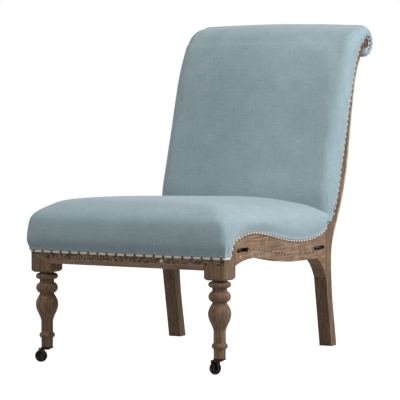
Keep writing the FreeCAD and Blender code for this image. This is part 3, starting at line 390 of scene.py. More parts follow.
# Sawn pine is pale yellow with broad soft rings, dull and furred by the saw.
sawn_pine, tree, place = start_material("sawn_pine")
ring = add_node(tree, "ShaderNodeTexNoise", {},
                {"Vector": place, "Scale": 1 / PINE_RING, "Detail": 3.0, "Distortion": 1.5})
tone = add_node(tree, "ShaderNodeMix", {"data_type": "RGBA"},
                {0: ring.outputs[0], 6: linear("#A5825A"), 7: linear("#D2B285")})
saw = add_node(tree, "ShaderNodeBump", {},
               {"Height": ring.outputs[0], "Distance": 0.6 * MM, "Strength": 0.5})
pine = add_node(tree, "ShaderNodeBsdfPrincipled", {},
                {"Base Color": tone.outputs[2], "Roughness": 0.8, "Normal": saw.outputs[0]})
add_node(tree, "ShaderNodeOutputMaterial", {}, {"Surface": pine.outputs[0]})
for side in ("left", "right"):
    dress(sawn_pine, f"front_corner_brace_{side}", f"rear_corner_brace_{side}",
          f"webbing_batten_{side}")
dress(sawn_pine, "webbing_batten_front", "webbing_batten_rear")


def dull_steel(name, colour, dirt):
    """Plain steel gone dull: grey, with brown dirt in patches and soft reflections."""
    material, tree, place = start_material(name)
    mark = add_node(tree, "ShaderNodeTexNoise", {},
                    {"Vector": place, "Scale": 1 / WIRE_MARK, "Detail": 3.0})
    shade = add_node(tree, "ShaderNodeMix", {"data_type": "RGBA"},
                     {0: mark.outputs[0], 6: linear(colour), 7: linear(dirt)})
    rough = add_node(tree, "ShaderNodeMapRange", {},
                     {"Value": mark.outputs[0], "To Min": 0.3, "To Max": 0.6})
    steel = add_node(tree, "ShaderNodeBsdfPrincipled", {},
                     {"Base Color": shade.outputs[2], "Metallic": 1.0,
                      "Roughness": rough.outputs[0]})
    add_node(tree, "ShaderNodeOutputMaterial", {}, {"Surface": steel.outputs[0]})
    return material


dress(dull_steel("drawn_spring_steel", "#77726C", "#4F4640"), "seat_springs")
dress(dull_steel("dull_zinc_steel", "#8B8984", "#5E5850"), "frame_bolts", "brace_screws")


# Webbing and canvas: jute straps tacked to the battens and woven over and under each other carry
# the springs, and coarse burlap lies over the springs and behind the back's stuffing.
JUTE_THREAD = 5.0 * MM     # threads of about 1.5 mm, drawn coarser so that they show
JUTE_PATCH = 18.0 * MM     # slow change of tone over the cloth
STRAP_LIFT = 0.7 * MM      # how far a strap rises and dips at a crossing
STRAP_ROWS = 6
STRAP_STEPS = 90
STRAP_THICK = 1.0 * MM


def jute(name, dark, pale, thread):
    """Coarse plain-woven jute: dull brown threads over and under, with gaps of shadow."""
    material, tree, place = start_material(name)
    laid = {"Vector": place, "Scale": WAVE_LENGTH / thread, "Distortion": 1.2, "Detail": 1.0}
    weft = add_node(tree, "ShaderNodeTexWave", {"bands_direction": "X"}, laid)
    warp = add_node(tree, "ShaderNodeTexWave", {"bands_direction": "DIAGONAL"}, laid)
    weave = add_node(tree, "ShaderNodeMath", {"operation": "MULTIPLY"},
                     {0: weft.outputs["Fac"], 1: warp.outputs["Fac"]})
    patch = add_node(tree, "ShaderNodeTexNoise", {}, {"Vector": place, "Scale": 1 / JUTE_PATCH})
    blend = add_node(tree, "ShaderNodeMix", {"data_type": "FLOAT"},
                     {0: 0.45, 2: weave.outputs[0], 3: patch.outputs[0]})
    colour = add_node(tree, "ShaderNodeMix", {"data_type": "RGBA"},
                      {0: blend.outputs[0], 6: linear(dark), 7: linear(pale)})
    bump = add_node(tree, "ShaderNodeBump", {},
                    {"Height": weave.outputs[0], "Distance": 0.6 * MM, "Strength": 0.6})
    cloth = add_node(tree, "ShaderNodeBsdfPrincipled", {},
                     {"Base Color": colour.outputs[2], "Roughness": 0.9, "Sheen Weight": 0.15,
                      "Normal": bump.outputs[0]})
    add_node(tree, "ShaderNodeOutputMaterial", {}, {"Surface": cloth.outputs[0]})
    return material


jute_webbing = jute("woven_jute_webbing", "#7A6648", "#BCA682", JUTE_THREAD)
burlap = jute("burlap", "#85745A", "#BFAE90", JUTE_THREAD)
dress(jute_webbing, "back_webbing_cross", "back_webbing_upright")
dress(burlap, "spring_canvas", "back_canvas")


def strap_boxes(name, axis):
    """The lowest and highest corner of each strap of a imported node, in order along the axis."""
    corners = np.array([tuple(v.co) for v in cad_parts[name].data.vertices])
    edges = np.unique(corners[:, axis].round(4))
    boxes = []
    for first, second in zip(edges[::2], edges[1::2]):
        strap = corners[(corners[:, axis] > first - MM) & (corners[:, axis] < second + MM)]
        boxes.append((strap.min(axis=0), strap.max(axis=0)))
    return boxes


def thicken(piece, thickness, offset):
    """Gives a sheet its cloth's thickness."""
    cloth = piece.modifiers.new("cloth_thickness", "SOLIDIFY")
    cloth.thickness = thickness
    cloth.offset = offset
    return cloth


def straps(name, axis, crossing_pitch, crossing_start, rise):
    """Straps along the other direction, each rising and dipping at the straps it crosses."""
    along = 1 - axis
    points = []
    faces = []
    for number, (low, high) in enumerate(strap_boxes(name, axis)):
        start = len(points)
        for i in range(STRAP_STEPS + 1):
            for j in range(STRAP_ROWS + 1):
                point = [0.0, 0.0, 0.0]
                point[along] = low[along] + (high[along] - low[along]) * i / STRAP_STEPS
                point[axis] = low[axis] + (high[axis] - low[axis]) * j / STRAP_ROWS
                wave = math.cos(math.pi * (point[along] - crossing_start) / crossing_pitch)
                point[2] = webbing_z + rise * (-1) ** number * STRAP_LIFT * wave
                points.append(point)
        row = STRAP_ROWS + 1
        faces += [(start + i * row + j, start + (i + 1) * row + j,
                   start + (i + 1) * row + j + 1, start + i * row + j + 1)
                  for i in range(STRAP_STEPS) for j in range(STRAP_ROWS)]
    piece = new_piece(name + "_woven", points, faces, jute_webbing)
    thicken(piece, STRAP_THICK, 0.0)
    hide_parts(name)
    return piece


crosswise = strap_boxes("seat_webbing_crosswise", 1)
lengthwise = strap_boxes("seat_webbing_lengthwise", 0)
webbing_z = float(crosswise[0][1][2])
cross_mid = [float(low[1] + high[1]) / 2 for low, high in crosswise]
length_mid = [float(low[0] + high[0]) / 2 for low, high in lengthwise]
straps("seat_webbing_crosswise", 1, length_mid[1] - length_mid[0], length_mid[0], 1)
straps("seat_webbing_lengthwise", 0, cross_mid[1] - cross_mid[0], cross_mid[0], -1)


# The linen: one bolt of duck-egg linen covers the seat and the back. It is a plain weave of
# uneven yarn, matte, with thicker slubs running both ways, pulled tight over the stuffing.
SLUB_WIDE = 2.8 * MM       # slubs of about 1 mm, drawn coarser so that they show
SLUB_LONG = 34.0 * MM
WASH_PATCH = 60.0 * MM     # slow change of tone over the cloth
linen, tree, place = start_material("slubbed_linen_duck_egg")
slubs = []
for stretch in ([1 / SLUB_LONG, 1 / SLUB_WIDE, 1 / SLUB_WIDE],
                [1 / SLUB_WIDE, 1 / SLUB_LONG, 1 / SLUB_LONG]):
    laid = add_node(tree, "ShaderNodeMapping", {}, {"Vector": place, "Scale": stretch})
    slubs.append(add_node(tree, "ShaderNodeTexNoise", {},
                          {"Vector": laid.outputs[0], "Scale": 1.0, "Detail": 3.0,
                           "Roughness": 0.65}).outputs[0])
weave = add_node(tree, "ShaderNodeMix", {"data_type": "FLOAT"}, {0: 0.5, 2: slubs[0], 3: slubs[1]})
wash = add_node(tree, "ShaderNodeTexNoise", {},
                {"Vector": place, "Scale": 1 / WASH_PATCH, "Detail": 2.0})
mixed = add_node(tree, "ShaderNodeMix", {"data_type": "FLOAT"},
                 {0: 0.25, 2: weave.outputs[0], 3: wash.outputs[0]})
tone = add_node(tree, "ShaderNodeMapRange", {},
                {"Value": mixed.outputs[0], "From Min": 0.26, "From Max": 0.74})
yarn = add_node(tree, "ShaderNodeMix", {"data_type": "RGBA"},
                {0: tone.outputs[0], 6: linear("#7F9398"), 7: linear("#A5B9C0")})
bump = add_node(tree, "ShaderNodeBump", {},
                {"Height": weave.outputs[0], "Distance": 0.9 * MM, "Strength": 0.5})
cloth = add_node(tree, "ShaderNodeBsdfPrincipled", {},
                 {"Base Color": yarn.outputs[2], "Roughness": 0.88, "Sheen Weight": 0.25,
                  "Sheen Roughness": 0.5, "Normal": bump.outputs[0]})
add_node(tree, "ShaderNodeOutputMaterial", {}, {"Surface": cloth.outputs[0]})


# The seat: one piece of linen over a sprung, stuffed pad. It is pulled down over the rails, tacked
# along the front and closed at each front corner with two small pleats.
SEAT_CELLS = 96            # cells of the cloth's grid across the top
WALL_CELLS = 14            # rows from the top's edge down to the hem
SEAT_START_IN = 2.0 * MM   # the cloth starts this much inside the stuffed shape
SEAT_PRESS = 4.0           # how hard the stuffing presses, as air pressure
SEAT_GIVE = 6.0 * MM       # the most that a point may move out
TOP_INSET = 7.0 * MM       # where the top turns into the wall
CORNER_PULL = 0.020        # share by which a plan corner is pulled in round
SEAT_BEHIND = 34.0 * MM    # the cloth runs on past the rails to the leaning posts
POST_LEAN = 1.2            # rise of the hem there for each step back, as the post's front edge
CROWN_FALL = (22.0 * MM, 32.0 * MM)     # the crown's fall to the sides, at the front and the rear
EDGE_FALL = (40.0 * MM, 8.0 * MM)       # and what the rounded edge adds to it
EDGE_FALL_POWER = 12
FRONT_FALL = 52.0 * MM     # and this much to the front edge
FRONT_FALL_RUN = 48.0 * MM
HEM_END = 2.0 * MM         # the side braid's height is read this far inside its ends
RIM_SHARE = 0.97           # the top's height at its edge is read this far out
CORNER_POWER = 7           # how closely the rounding keeps to the corners
WALL_POWER = 9             # and the tuck to each wall
TUCK_POWER = 1.7
SMOOTHING_PASSES = 14
PRESS_FRAMES = 20          # steps for which the stuffing presses
EVENING_PASSES = 8         # and how often its swell is evened out
EDGE_MARGIN = 14.0 * MM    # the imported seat's height is read this far inside its edges
CORNER_BAND = 8.0 * MM     # points this near the block's corner clear both of its faces
WOOD_CLEAR = 2.5 * MM      # cloth outside the wood that it is pulled over
SEAT_WIDER = 8.0 * MM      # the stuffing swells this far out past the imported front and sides
REAR_BULGE = 11.5 * MM     # and this far past the wood at the rear
TUCK_H = 30.0 * MM         # the widest line is this high above the hem
TACK_PITCH = 27.0 * MM
PULL_DEPTH = 2.6 * MM      # the dent above each tack
PULL_H = 24.0 * MM
PULL_TOP = 90.0 * MM       # no dent this high above the hem
PULL_ENDS = 20.0 * MM      # or this near the leg's outer face
LINEN_THICK = 1.2 * MM
PLEATS = ((-15, -5, 60), (12, 4, 45))    # mm: foot and head along the hem from the corner, height
PLEAT_DEPTH = 4.0 * MM
PLEAT_WIDE = 3.5 * MM
PLEAT_BEHIND = 50.0 * MM   # pleats keep this near behind the leg's axis
PLEAT_BESIDE = 60.0 * MM   # and this near its outer face
WOOD_ABOVE = 6.0 * MM      # cloth clears the wood up to this far above the leg's head
SIDE_PUSH = 30.0 * MM      # the most that it is moved out sideways for that
seat_low, seat_high = (Vector(c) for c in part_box("seat_cover"))
leg_low, leg_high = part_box("front_leg_right")
leg_axis = (leg_low[1] + leg_high[1]) / 2
nail_line = tape_high[2]
seat_skin = skin_of("seat_cover")
hem_skin = skin_of("side_braid_right")
hem_low, hem_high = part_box("side_braid_right")
braid_proud = 0.8 * MM     # half of the braid's thickness, outside the wood


def rail_face(y):
    """How far out the side rail's face is, which narrows towards the back."""
    share = (y - hem_low[1]) / (hem_high[1] - hem_low[1])
    return hem_high[0] - 2 * braid_proud + (hem_low[0] - hem_high[0] + 2 * braid_proud) * share


def hem_top(y):
    """Height of the side hem: the braid's upper edge, and a steep climb to it on the leg's side."""
    if y <= leg_axis:
        return nail_line
    if y > hem_high[1]:
        return hem_top(hem_high[1]) + (y - hem_high[1]) * POST_LEAN
    spot = min(max(y, hem_low[1] + HEM_END), hem_high[1] - HEM_END)
    hit, _, _, _ = hem_skin.ray_cast(Vector((rail_face(spot) + braid_proud, spot, FAR_OUT)),
                                     Vector((0, 0, -1)))
    top = hit.z
    if y < hem_low[1]:
        climb = (y - leg_axis) / (hem_low[1] - leg_axis)
        return nail_line + (top - nail_line) * math.sin(climb * math.pi / 2)
    return top


seat_rear = seat_high.y + SEAT_BEHIND
seat_front = seat_low.y - SEAT_WIDER
seat_half = (seat_rear - seat_front) / 2
seat_mid = (seat_rear + seat_front) / 2
front_half = seat_high.x + SEAT_WIDER
rear_half = hem_low[0] + REAR_BULGE


def seat_plan(across, along, rounded):
    """The plan point for shares of -1 to 1 across and front to back; the front corners round off
    by the share rounded, which is none at the hem and full on top."""
    pull = 1 - (CORNER_PULL * rounded * abs(across * along) ** CORNER_POWER if along < 0 else 0)
    y = seat_mid + along * pull * seat_half
    share = (y - seat_front) / (2 * seat_half)
    return across * pull * (front_half + (rear_half - front_half) * share), y


def front_fall(y):
    """How far the seat has fallen towards its front edge."""
    return FRONT_FALL * math.exp(-(y - seat_low.y) / FRONT_FALL_RUN)


def seat_top(x, y):
    """Height of the stuffed seat over a plan point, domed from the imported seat's middle line."""
    inside_y = min(max(y, seat_low.y + EDGE_MARGIN), seat_high.y - EDGE_MARGIN)
    middle = seat_skin.ray_cast(Vector((MM, inside_y, FAR_OUT)), Vector((0, 0, -1)))[0].z
    if y < inside_y:
        middle -= front_fall(y) - front_fall(inside_y)
    share = (y - seat_front) / (2 * seat_half)
    half = front_half + (rear_half - front_half) * share
    out = min(1.0, abs(x / half))
    side = (CROWN_FALL[0] + (CROWN_FALL[1] - CROWN_FALL[0]) * share) * out ** 2
    side += (EDGE_FALL[0] + (EDGE_FALL[1] - EDGE_FALL[0]) * share) * out ** EDGE_FALL_POWER
    return middle - (side ** 4 + front_fall(y) ** 4) ** 0.25 + front_fall(y)


def puff(piece, rows, held, pressure, give):
    """Lets the stuffing press the cloth out like air, with the held points fixed, and keeps each
    point's swell within give of where it started, evened out over the grid of so many rows."""
    tacked = piece.vertex_groups.new(name="tacked")
    tacked.add(held, 1.0, "REPLACE")
    air = piece.modifiers.new("stuffing_press", "CLOTH")
    air.settings.quality = 5
    air.settings.mass = 0.3
    air.settings.tension_stiffness = 15
    air.settings.compression_stiffness = 15
    air.settings.shear_stiffness = 5
    air.settings.bending_stiffness = 0.5
    air.settings.vertex_group_mass = "tacked"
    air.settings.use_pressure = True
    air.settings.uniform_pressure_force = pressure
    air.settings.effector_weights.gravity = 0
    air.collision_settings.use_collision = False
    for step in range(1, PRESS_FRAMES + 1):
        bpy.context.scene.frame_set(step)
    pressed = piece.evaluated_get(bpy.context.evaluated_depsgraph_get()).data
    moved = np.array([v.co for v in pressed.vertices])
    start = np.array([v.co for v in piece.data.vertices])
    outward = np.array([v.normal for v in piece.data.vertices])
    swell = np.maximum(0.0, ((moved - start) * outward).sum(axis=1)).reshape(rows, -1)
    for _ in range(EVENING_PASSES):
        swell[1:-1, 1:-1] = (swell[:-2, 1:-1] + swell[2:, 1:-1] + swell[1:-1, :-2]
                             + swell[1:-1, 2:]) / 4
    kept = start + outward * give * np.tanh(swell.reshape(-1, 1) / give)
    piece.modifiers.remove(air)
    piece.data.vertices.foreach_set("co", kept.ravel())
    piece.data.update()
    bpy.context.scene.frame_set(1)


def grid_faces(rows, columns):
    """Quads of a grid whose points run row by row."""
    return [(i * columns + j, i * columns + j + 1, (i + 1) * columns + j + 1, (i + 1) * columns + j)
            for i in range(rows - 1) for j in range(columns - 1)]


def shrink(piece, inward, held):
    """Moves every free point of the cloth inward along its normal."""
    fixed = set(held)
    normals = [v.normal.copy() for v in piece.data.vertices]
    for vertex, normal in zip(piece.data.vertices, normals):
        if vertex.index not in fixed:
            vertex.co -= normal * inward
    piece.data.update()


def finer_cloth(piece):
    """Rounds the cloth's grid off, one level finer."""
    finer = piece.modifiers.new("finer_cloth", "SUBSURF")
    finer.levels = 1
    finer.render_levels = 1


cells = SEAT_CELLS + 2 * WALL_CELLS
top_share = SEAT_CELLS / cells
grid = np.zeros((cells + 1, cells + 1, 3))
for i in range(cells + 1):
    for j in range(cells + 1):
        along = 2 * i / cells - 1
        across = 2 * j / cells - 1
        ring = max(abs(along), abs(across))
        if ring <= top_share:
            x, y = seat_plan(across / top_share, along / top_share, 1.0)
            x *= 1 - TOP_INSET / front_half
            if along < 0:
                y = seat_mid + (y - seat_mid) * (1 - TOP_INSET / seat_half)
            grid[i, j] = x, y, seat_top(x, y)
            continue
        across, along = across / ring, along / ring
        drop = (ring - top_share) / (1 - top_share)
        edge_x, edge_y = seat_plan(across, along, (1 - drop) ** 0.7)
        high_y = seat_mid + (edge_y - seat_mid) * (RIM_SHARE if along < 0 else 1.0)
        high = seat_top(edge_x * RIM_SHARE, high_y)
        low = hem_top(edge_y)
        z = high + (low - high) * drop
        turn_in = TOP_INSET * (1 - drop) ** 3
        tuck = max(0.0, 1 - (z - low) / TUCK_H) ** TUCK_POWER
        past_side = max(0.0, abs(edge_x) - rail_face(max(edge_y, hem_low[1])))
        past_front = max(0.0, leg_low[1] - edge_y)
        edge_x -= math.copysign(abs(across) ** WALL_POWER * (turn_in + tuck * past_side), across)
        if along < 0:
            edge_y += abs(along) ** WALL_POWER * (turn_in + tuck * past_front)
        grid[i, j] = edge_x, edge_y, z
hem_ring = [i * (cells + 1) + j for i in range(cells + 1) for j in range(cells + 1)
            if i in (0, cells) or j in (0, cells)]
for _ in range(SMOOTHING_PASSES):
    middle = grid[1:-1, 1:-1]
    round_about = (grid[:-2, 1:-1] + grid[2:, 1:-1] + grid[1:-1, :-2] + grid[1:-1, 2:]) / 4
    grid[1:-1, 1:-1] = middle * 0.5 + round_about * 0.5
seat = new_piece("seat_linen", grid.reshape(-1, 3), grid_faces(cells + 1, cells + 1), linen)
shrink(seat, SEAT_START_IN, hem_ring)
puff(seat, cells + 1, hem_ring, SEAT_PRESS, SEAT_GIVE)
corner = Vector((leg_high[0], leg_low[1]))
for vertex in seat.data.vertices:
    point = vertex.co
    rise = point.z - nail_line
    if point.y < leg_axis and rise < PULL_TOP and abs(point.x) < corner.x - PULL_ENDS:
        at_tack = math.cos(math.pi * point.x / TACK_PITCH) ** 6
        vertex.co.y += PULL_DEPTH * at_tack * math.exp(-rise / PULL_H)
    around = (point.y - corner.y) - (corner.x - abs(point.x))
    for foot, head, height in PLEATS:
        share = rise / (height * MM)
        near = point.y < leg_axis + PLEAT_BEHIND and abs(point.x) > corner.x - PLEAT_BESIDE
        if 0 <= share <= 1 and near:
            line = (foot + (head - foot) * share) * MM
            fold = math.exp(-((around - line) / PLEAT_WIDE) ** 2) * (1 - share) ** 0.5
            vertex.co -= vertex.normal * (PLEAT_DEPTH * fold)
for vertex in seat.data.vertices:
    behind_front = vertex.co.y - (leg_low[1] - WOOD_CLEAR)
    inside = rail_face(max(vertex.co.y, hem_low[1])) + WOOD_CLEAR - abs(vertex.co.x)
    if vertex.co.z < leg_high[2] + WOOD_ABOVE and behind_front > 0 and inside > 0:
        if behind_front < inside + CORNER_BAND:
            vertex.co.y -= behind_front
        if inside < min(behind_front + CORNER_BAND, SIDE_PUSH):
            vertex.co.x += math.copysign(inside, vertex.co.x)
seat.data.update()
thicken(seat, LINEN_THICK, -1.0)
finer_cloth(seat)
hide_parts("seat_cover", "seat_stuffing")


# The back: linen over a stuffed pad that stands in front of the posts, wraps round their front
# edges, and turns over the crest as a roll whose ends are gathered round the scroll's eye.
SIDE_CELLS = 10
CORNER_CELLS = 9
FRONT_CELLS = 84
BACK_ROWS = 78             # rows up to the scroll's eye
ROLL_ROWS = 76             # rows round the roll
ROLL_END = math.radians(-126)     # the roll's own end, then the cloth is tucked in to the neck
ROLL_CLOSE = math.radians(-146)
LOWER_ROWS = 6             # rows pressed down between the seat and the pad
TAPER_ROWS = 10            # its sides are drawn forward there, by this share of the pad's depth
BACK_TAPER = 0.35
EYE_RIM = 16.5 * MM        # the gathers are tacked this far from the eye's middle
BACK_ROUND = 30.0 * MM     # rounding of the pad's edges and of the roll's ends
BACK_CROWN = 5.0 * MM
EDGE_DROP = 12.0 * MM      # the pad is this much thinner at its edges
BACK_WIDER = 4.0 * MM      # the stuffed pad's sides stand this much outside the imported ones
BACK_GIVE = 4.0 * MM
GATHERS = 13               # folds round the roll's end
GATHER_DEPTH = 4.5 * MM
GATHER_POWER = 0.6         # how full the folds are, and how they die away from the eye
GATHER_IN = 0.25           # share of a fold's depth by which the end is drawn in
CREASE = 0.6               # share of it that runs on round the edge
BACK_FOOT = 14.0 * MM      # the pad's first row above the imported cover's lower edge
NECK_IN = 6.0 * MM         # its edge in front of the post where the braid ends
ROLL_INSIDE = 25           # mm from the eye's middle to where rays that measure the roll start
ROLL_TUCK = 0.4            # share of its reach that the roll's end is tucked in by
ROUND_MOST = 0.8           # the rounding's largest share of the pad's depth
SIDE_OFF = 1.5 * MM        # the cloth's edge stands this far off the post's face
back_low, back_high = (Vector(c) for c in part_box("back_cover"))
back_skin = skin_of("back_cover")
post_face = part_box("rear_post_right")[1][0]
back_half = back_high.x + BACK_WIDER

rows = []
for z in np.linspace(back_low.z + BACK_FOOT, eye.z, BACK_ROWS, endpoint=False):
    outer = back_skin.ray_cast(Vector((0, IN_FRONT, z)), Vector((0, 1, 0)))[0]
    edge = post_edge(z)
    if edge is None:
        share = (z - edge_high.z) / (eye.z - edge_high.z)
        inner_y = edge_high.y - NECK_IN + (eye.y - EYE_RIM - edge_high.y + NECK_IN) * max(0.0, share)
    else:
        inner_y = edge.y
    rows.append((Vector((0, inner_y, z)), outer, None))
step_in, step_out = rows[0][0] - rows[1][0], rows[0][1] - rows[1][1]
rows = [(rows[0][0] + step_in * k, rows[0][1] + step_out * k, None)
        for k in range(LOWER_ROWS, 0, -1)] + rows
for k in range(TAPER_ROWS):
    inner, outer, _ = rows[k]
    rows[k] = (inner + (outer - inner) * BACK_TAPER * (1 - k / TAPER_ROWS) ** 1.5, outer, None)
for turn in np.linspace(math.pi, ROLL_CLOSE, ROLL_ROWS):
    way = Vector((0, math.cos(turn), math.sin(turn)))
    if turn > ROLL_END:
        outer = back_skin.ray_cast(eye + way * ROLL_INSIDE * MM, way)[0]
        last_reach = (outer - eye).length
    else:
        closing = (ROLL_END - turn) / (ROLL_END - ROLL_CLOSE)
        outer = eye + way * last_reach * (1 - ROLL_TUCK * closing)
    rows.append((eye + way * EYE_RIM, outer, turn))
points = []
for inner, outer, turn in rows:
    depth = (outer - inner).length
    way = (outer - inner).normalized()
    on_roll = turn is not None
    drop = EDGE_DROP * (max(0.0, turn / math.pi * 2 - 1) if on_roll else 1.0)
    rounding = min(BACK_ROUND, ROUND_MOST * (depth - drop))
    fold = abs(math.cos(GATHERS * turn / 2)) ** GATHER_POWER if on_roll else 0.0
    gather = GATHER_DEPTH if on_roll else 0.0
    side = []
    for k in range(SIDE_CELLS):
        off = (depth - drop - rounding) * k / SIDE_CELLS
        swell = math.sin(min(1.0, 2 * off / depth) * math.pi / 2)
        wide = post_face + SIDE_OFF + (back_half - post_face - SIDE_OFF) * swell
        folded = fold * (1 - off / depth) ** GATHER_POWER - GATHER_IN
        side.append((off, wide + gather * folded))
    for k in range(CORNER_CELLS):
        bend = math.pi / 2 * k / CORNER_CELLS
        crease = gather * CREASE * (1 - fold) * (1 - k / CORNER_CELLS)
        side.append((depth - drop - rounding + rounding * math.sin(bend),
                     back_half - rounding + rounding * math.cos(bend) - crease))
    flat_half = back_half - rounding
    for off, wide in side:
        points.append(inner + way * off + Vector((wide, 0, 0)))
    for k in range(FRONT_CELLS + 1):
        x = flat_half * (1 - 2 * k / FRONT_CELLS)
        crown = BACK_CROWN * math.cos(math.pi / 2 * x / flat_half)
        crown -= drop * (0.5 - 0.5 * math.cos(math.pi * x / flat_half))
        points.append(inner + way * (depth + crown) + Vector((x, 0, 0)))
    for off, wide in reversed(side):
        points.append(inner + way * off - Vector((wide, 0, 0)))
back_columns = len(points) // len(rows)
faces = [face[::-1] for face in grid_faces(len(rows), back_columns)]
back = new_piece("back_linen", points, faces, linen)
tacked_edge = [i * back_columns + j for i in range(len(rows)) for j in range(back_columns)
               if i in (0, len(rows) - 1) or j in (0, back_columns - 1)]
puff(back, len(rows), tacked_edge, SEAT_PRESS, BACK_GIVE)
thicken(back, LINEN_THICK, -1.0)
finer_cloth(back)
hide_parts("back_cover", "back_stuffing")


# Cream cotton trim: a tape along the seat's front hem, puckered between its tacks, and a finer
# stitched braid along the side rails' hem and up the front edge of each post.
# A dark brown cord under the side braid is painted shadow: it stands for the shadow line beneath the
# braid.
TAPE_WIDE = 6.0 * MM
TAPE_THICK = 2.2 * MM
TAPE_IN = 1.6 * MM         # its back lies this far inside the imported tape's outer face
BRAID_WIDE = 4.6 * MM
BRAID_THICK = 2.0 * MM
BRAID_OFF = 0.2 * MM       # its back stands this far off the rail
STITCH = 17.0 * MM         # length of one stitch of the braid
STITCH_GAP = 0.10          # share of its width that is left between two stitches
TRIM_STEP = 1.4 * MM
TRIM_SIDES = 10
HEM_ENDS = (1.0 * MM, 2.0 * MM)       # the side braid behind the leg's axis and before the seat's end
HEM_STEP = 6.0 * MM
EDGE_WIDE = 3.4 * MM       # the post's braid is the finer one
EDGE_ENDS = (14.0 * MM, 2.0 * MM)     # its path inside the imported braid's lower and upper end
EDGE_STEP = 10.0 * MM
EDGE_BELOW = 2             # steps by which it runs on down to the seat's hem
EDGE_BACK = 2.5 * MM       # its middle lies this far behind the post's front edge
FRAY_FROM = math.radians(140)     # the gathered linen's cut edge shows round the scroll's eye
FRAY_POINTS = 40
FRAY_WIDE = 4.5 * MM
FRAY_THICK = 5.0 * MM
FRAY_OFF = 1.0 * MM        # outside the post's face
FRAY_WAVES = (2.3 * MM, 5.1 * MM)     # lengths of the two waves that its threads beat in
CORD_WIDE = 2.4 * MM
CORD_THICK = 1.4 * MM
CORD_BELOW = 2.6 * MM
COTTON_THREAD = 2.0 * MM   # threads of about 0.6 mm, drawn coarser so that they show

# Cotton braid is off-white and matte, with soil between its threads.
cream_cotton, tree, place = start_material("cream_cotton_braid")
thread = add_node(tree, "ShaderNodeTexNoise", {},
                  {"Vector": place, "Scale": 1 / COTTON_THREAD, "Detail": 2.0})
soil = add_node(tree, "ShaderNodeMix", {"data_type": "RGBA"},
                {0: thread.outputs[0], 6: linear("#CBBFAB"), 7: linear("#F5EEE0")})
bump = add_node(tree, "ShaderNodeBump", {},
                {"Height": thread.outputs[0], "Distance": 0.6 * MM, "Strength": 0.6})
cotton = add_node(tree, "ShaderNodeBsdfPrincipled", {},
                  {"Base Color": soil.outputs[2], "Roughness": 0.9, "Sheen Weight": 0.2,
                   "Normal": bump.outputs[0]})
add_node(tree, "ShaderNodeOutputMaterial", {}, {"Surface": cotton.outputs[0]})

# The cord is dark brown with a dull shine: a painted shadow line under the side braid.
shadow_line_cord = mottled("dark_cord_painted_shadow_line", "#2B2018", "#5C4736", COTTON_THREAD, 0.75)


def even_path(corners, step):
    """Points at even steps along a line of corners."""
    corners = np.array([tuple(c) for c in corners])
    gone = np.concatenate([[0], np.cumsum(np.linalg.norm(np.diff(corners, axis=0), axis=1))])
    count = max(2, int(gone[-1] / step))
    steps = np.linspace(0, gone[-1], count + 1)
    return [Vector([np.interp(s, gone, corners[:, k]) for k in range(3)]) for s in steps], steps


def trim(name, corners, out_of, wide, thick, pinch, cord):
    """A flat braid along a path, its back on the surface; pinch gives its width's share there."""
    path, steps = even_path(corners, TRIM_STEP)
    points = []
    for number, (point, gone) in enumerate(zip(path, steps)):
        before = path[max(0, number - 1)]
        after = path[min(len(path) - 1, number + 1)]
        along = (after - before).normalized()
        out = out_of(along)
        across = along.cross(out).normalized()
        share = pinch(point, gone)
        for k in range(TRIM_SIDES):
            turn = 2 * math.pi * k / TRIM_SIDES
            points.append(point + out * (thick * share * (0.5 + 0.5 * math.cos(turn)))
                          + across * (wide / 2 * share * math.sin(turn)))
    faces = []
    for i in range(len(path) - 1):
        for k in range(TRIM_SIDES):
            a = i * TRIM_SIDES + k
            b = i * TRIM_SIDES + (k + 1) % TRIM_SIDES
            faces.append((a, b, b + TRIM_SIDES, a + TRIM_SIDES))
    faces.append(tuple(range(TRIM_SIDES - 1, -1, -1)))
    faces.append(tuple(range((len(path) - 1) * TRIM_SIDES, len(path) * TRIM_SIDES)))
    return new_piece(name, points, faces, cord)


def stitched(point, gone):
    """A stitch swells and narrows once in its length, and a short gap follows it."""
    full = min(1.0, 1.6 * max(0.0, math.sin(2 * math.pi * gone / STITCH) + 0.2))
    return STITCH_GAP + (1 - STITCH_GAP) * full


def frayed(point, gone):
    """A cut edge of uneven threads."""
    return 0.45 + 0.55 * abs(math.sin(gone / FRAY_WAVES[0]) * math.sin(gone / FRAY_WAVES[1]))


def pinched_at_tacks(point, gone):
    """The tape is drawn in under each tack of the front row."""
    return 1.08 - 0.3 * math.cos(math.pi * point.x / TACK_PITCH) ** 4


def sideways(along):
    """Straight out of the side that is being trimmed."""
    return Vector((way, 0, 0))


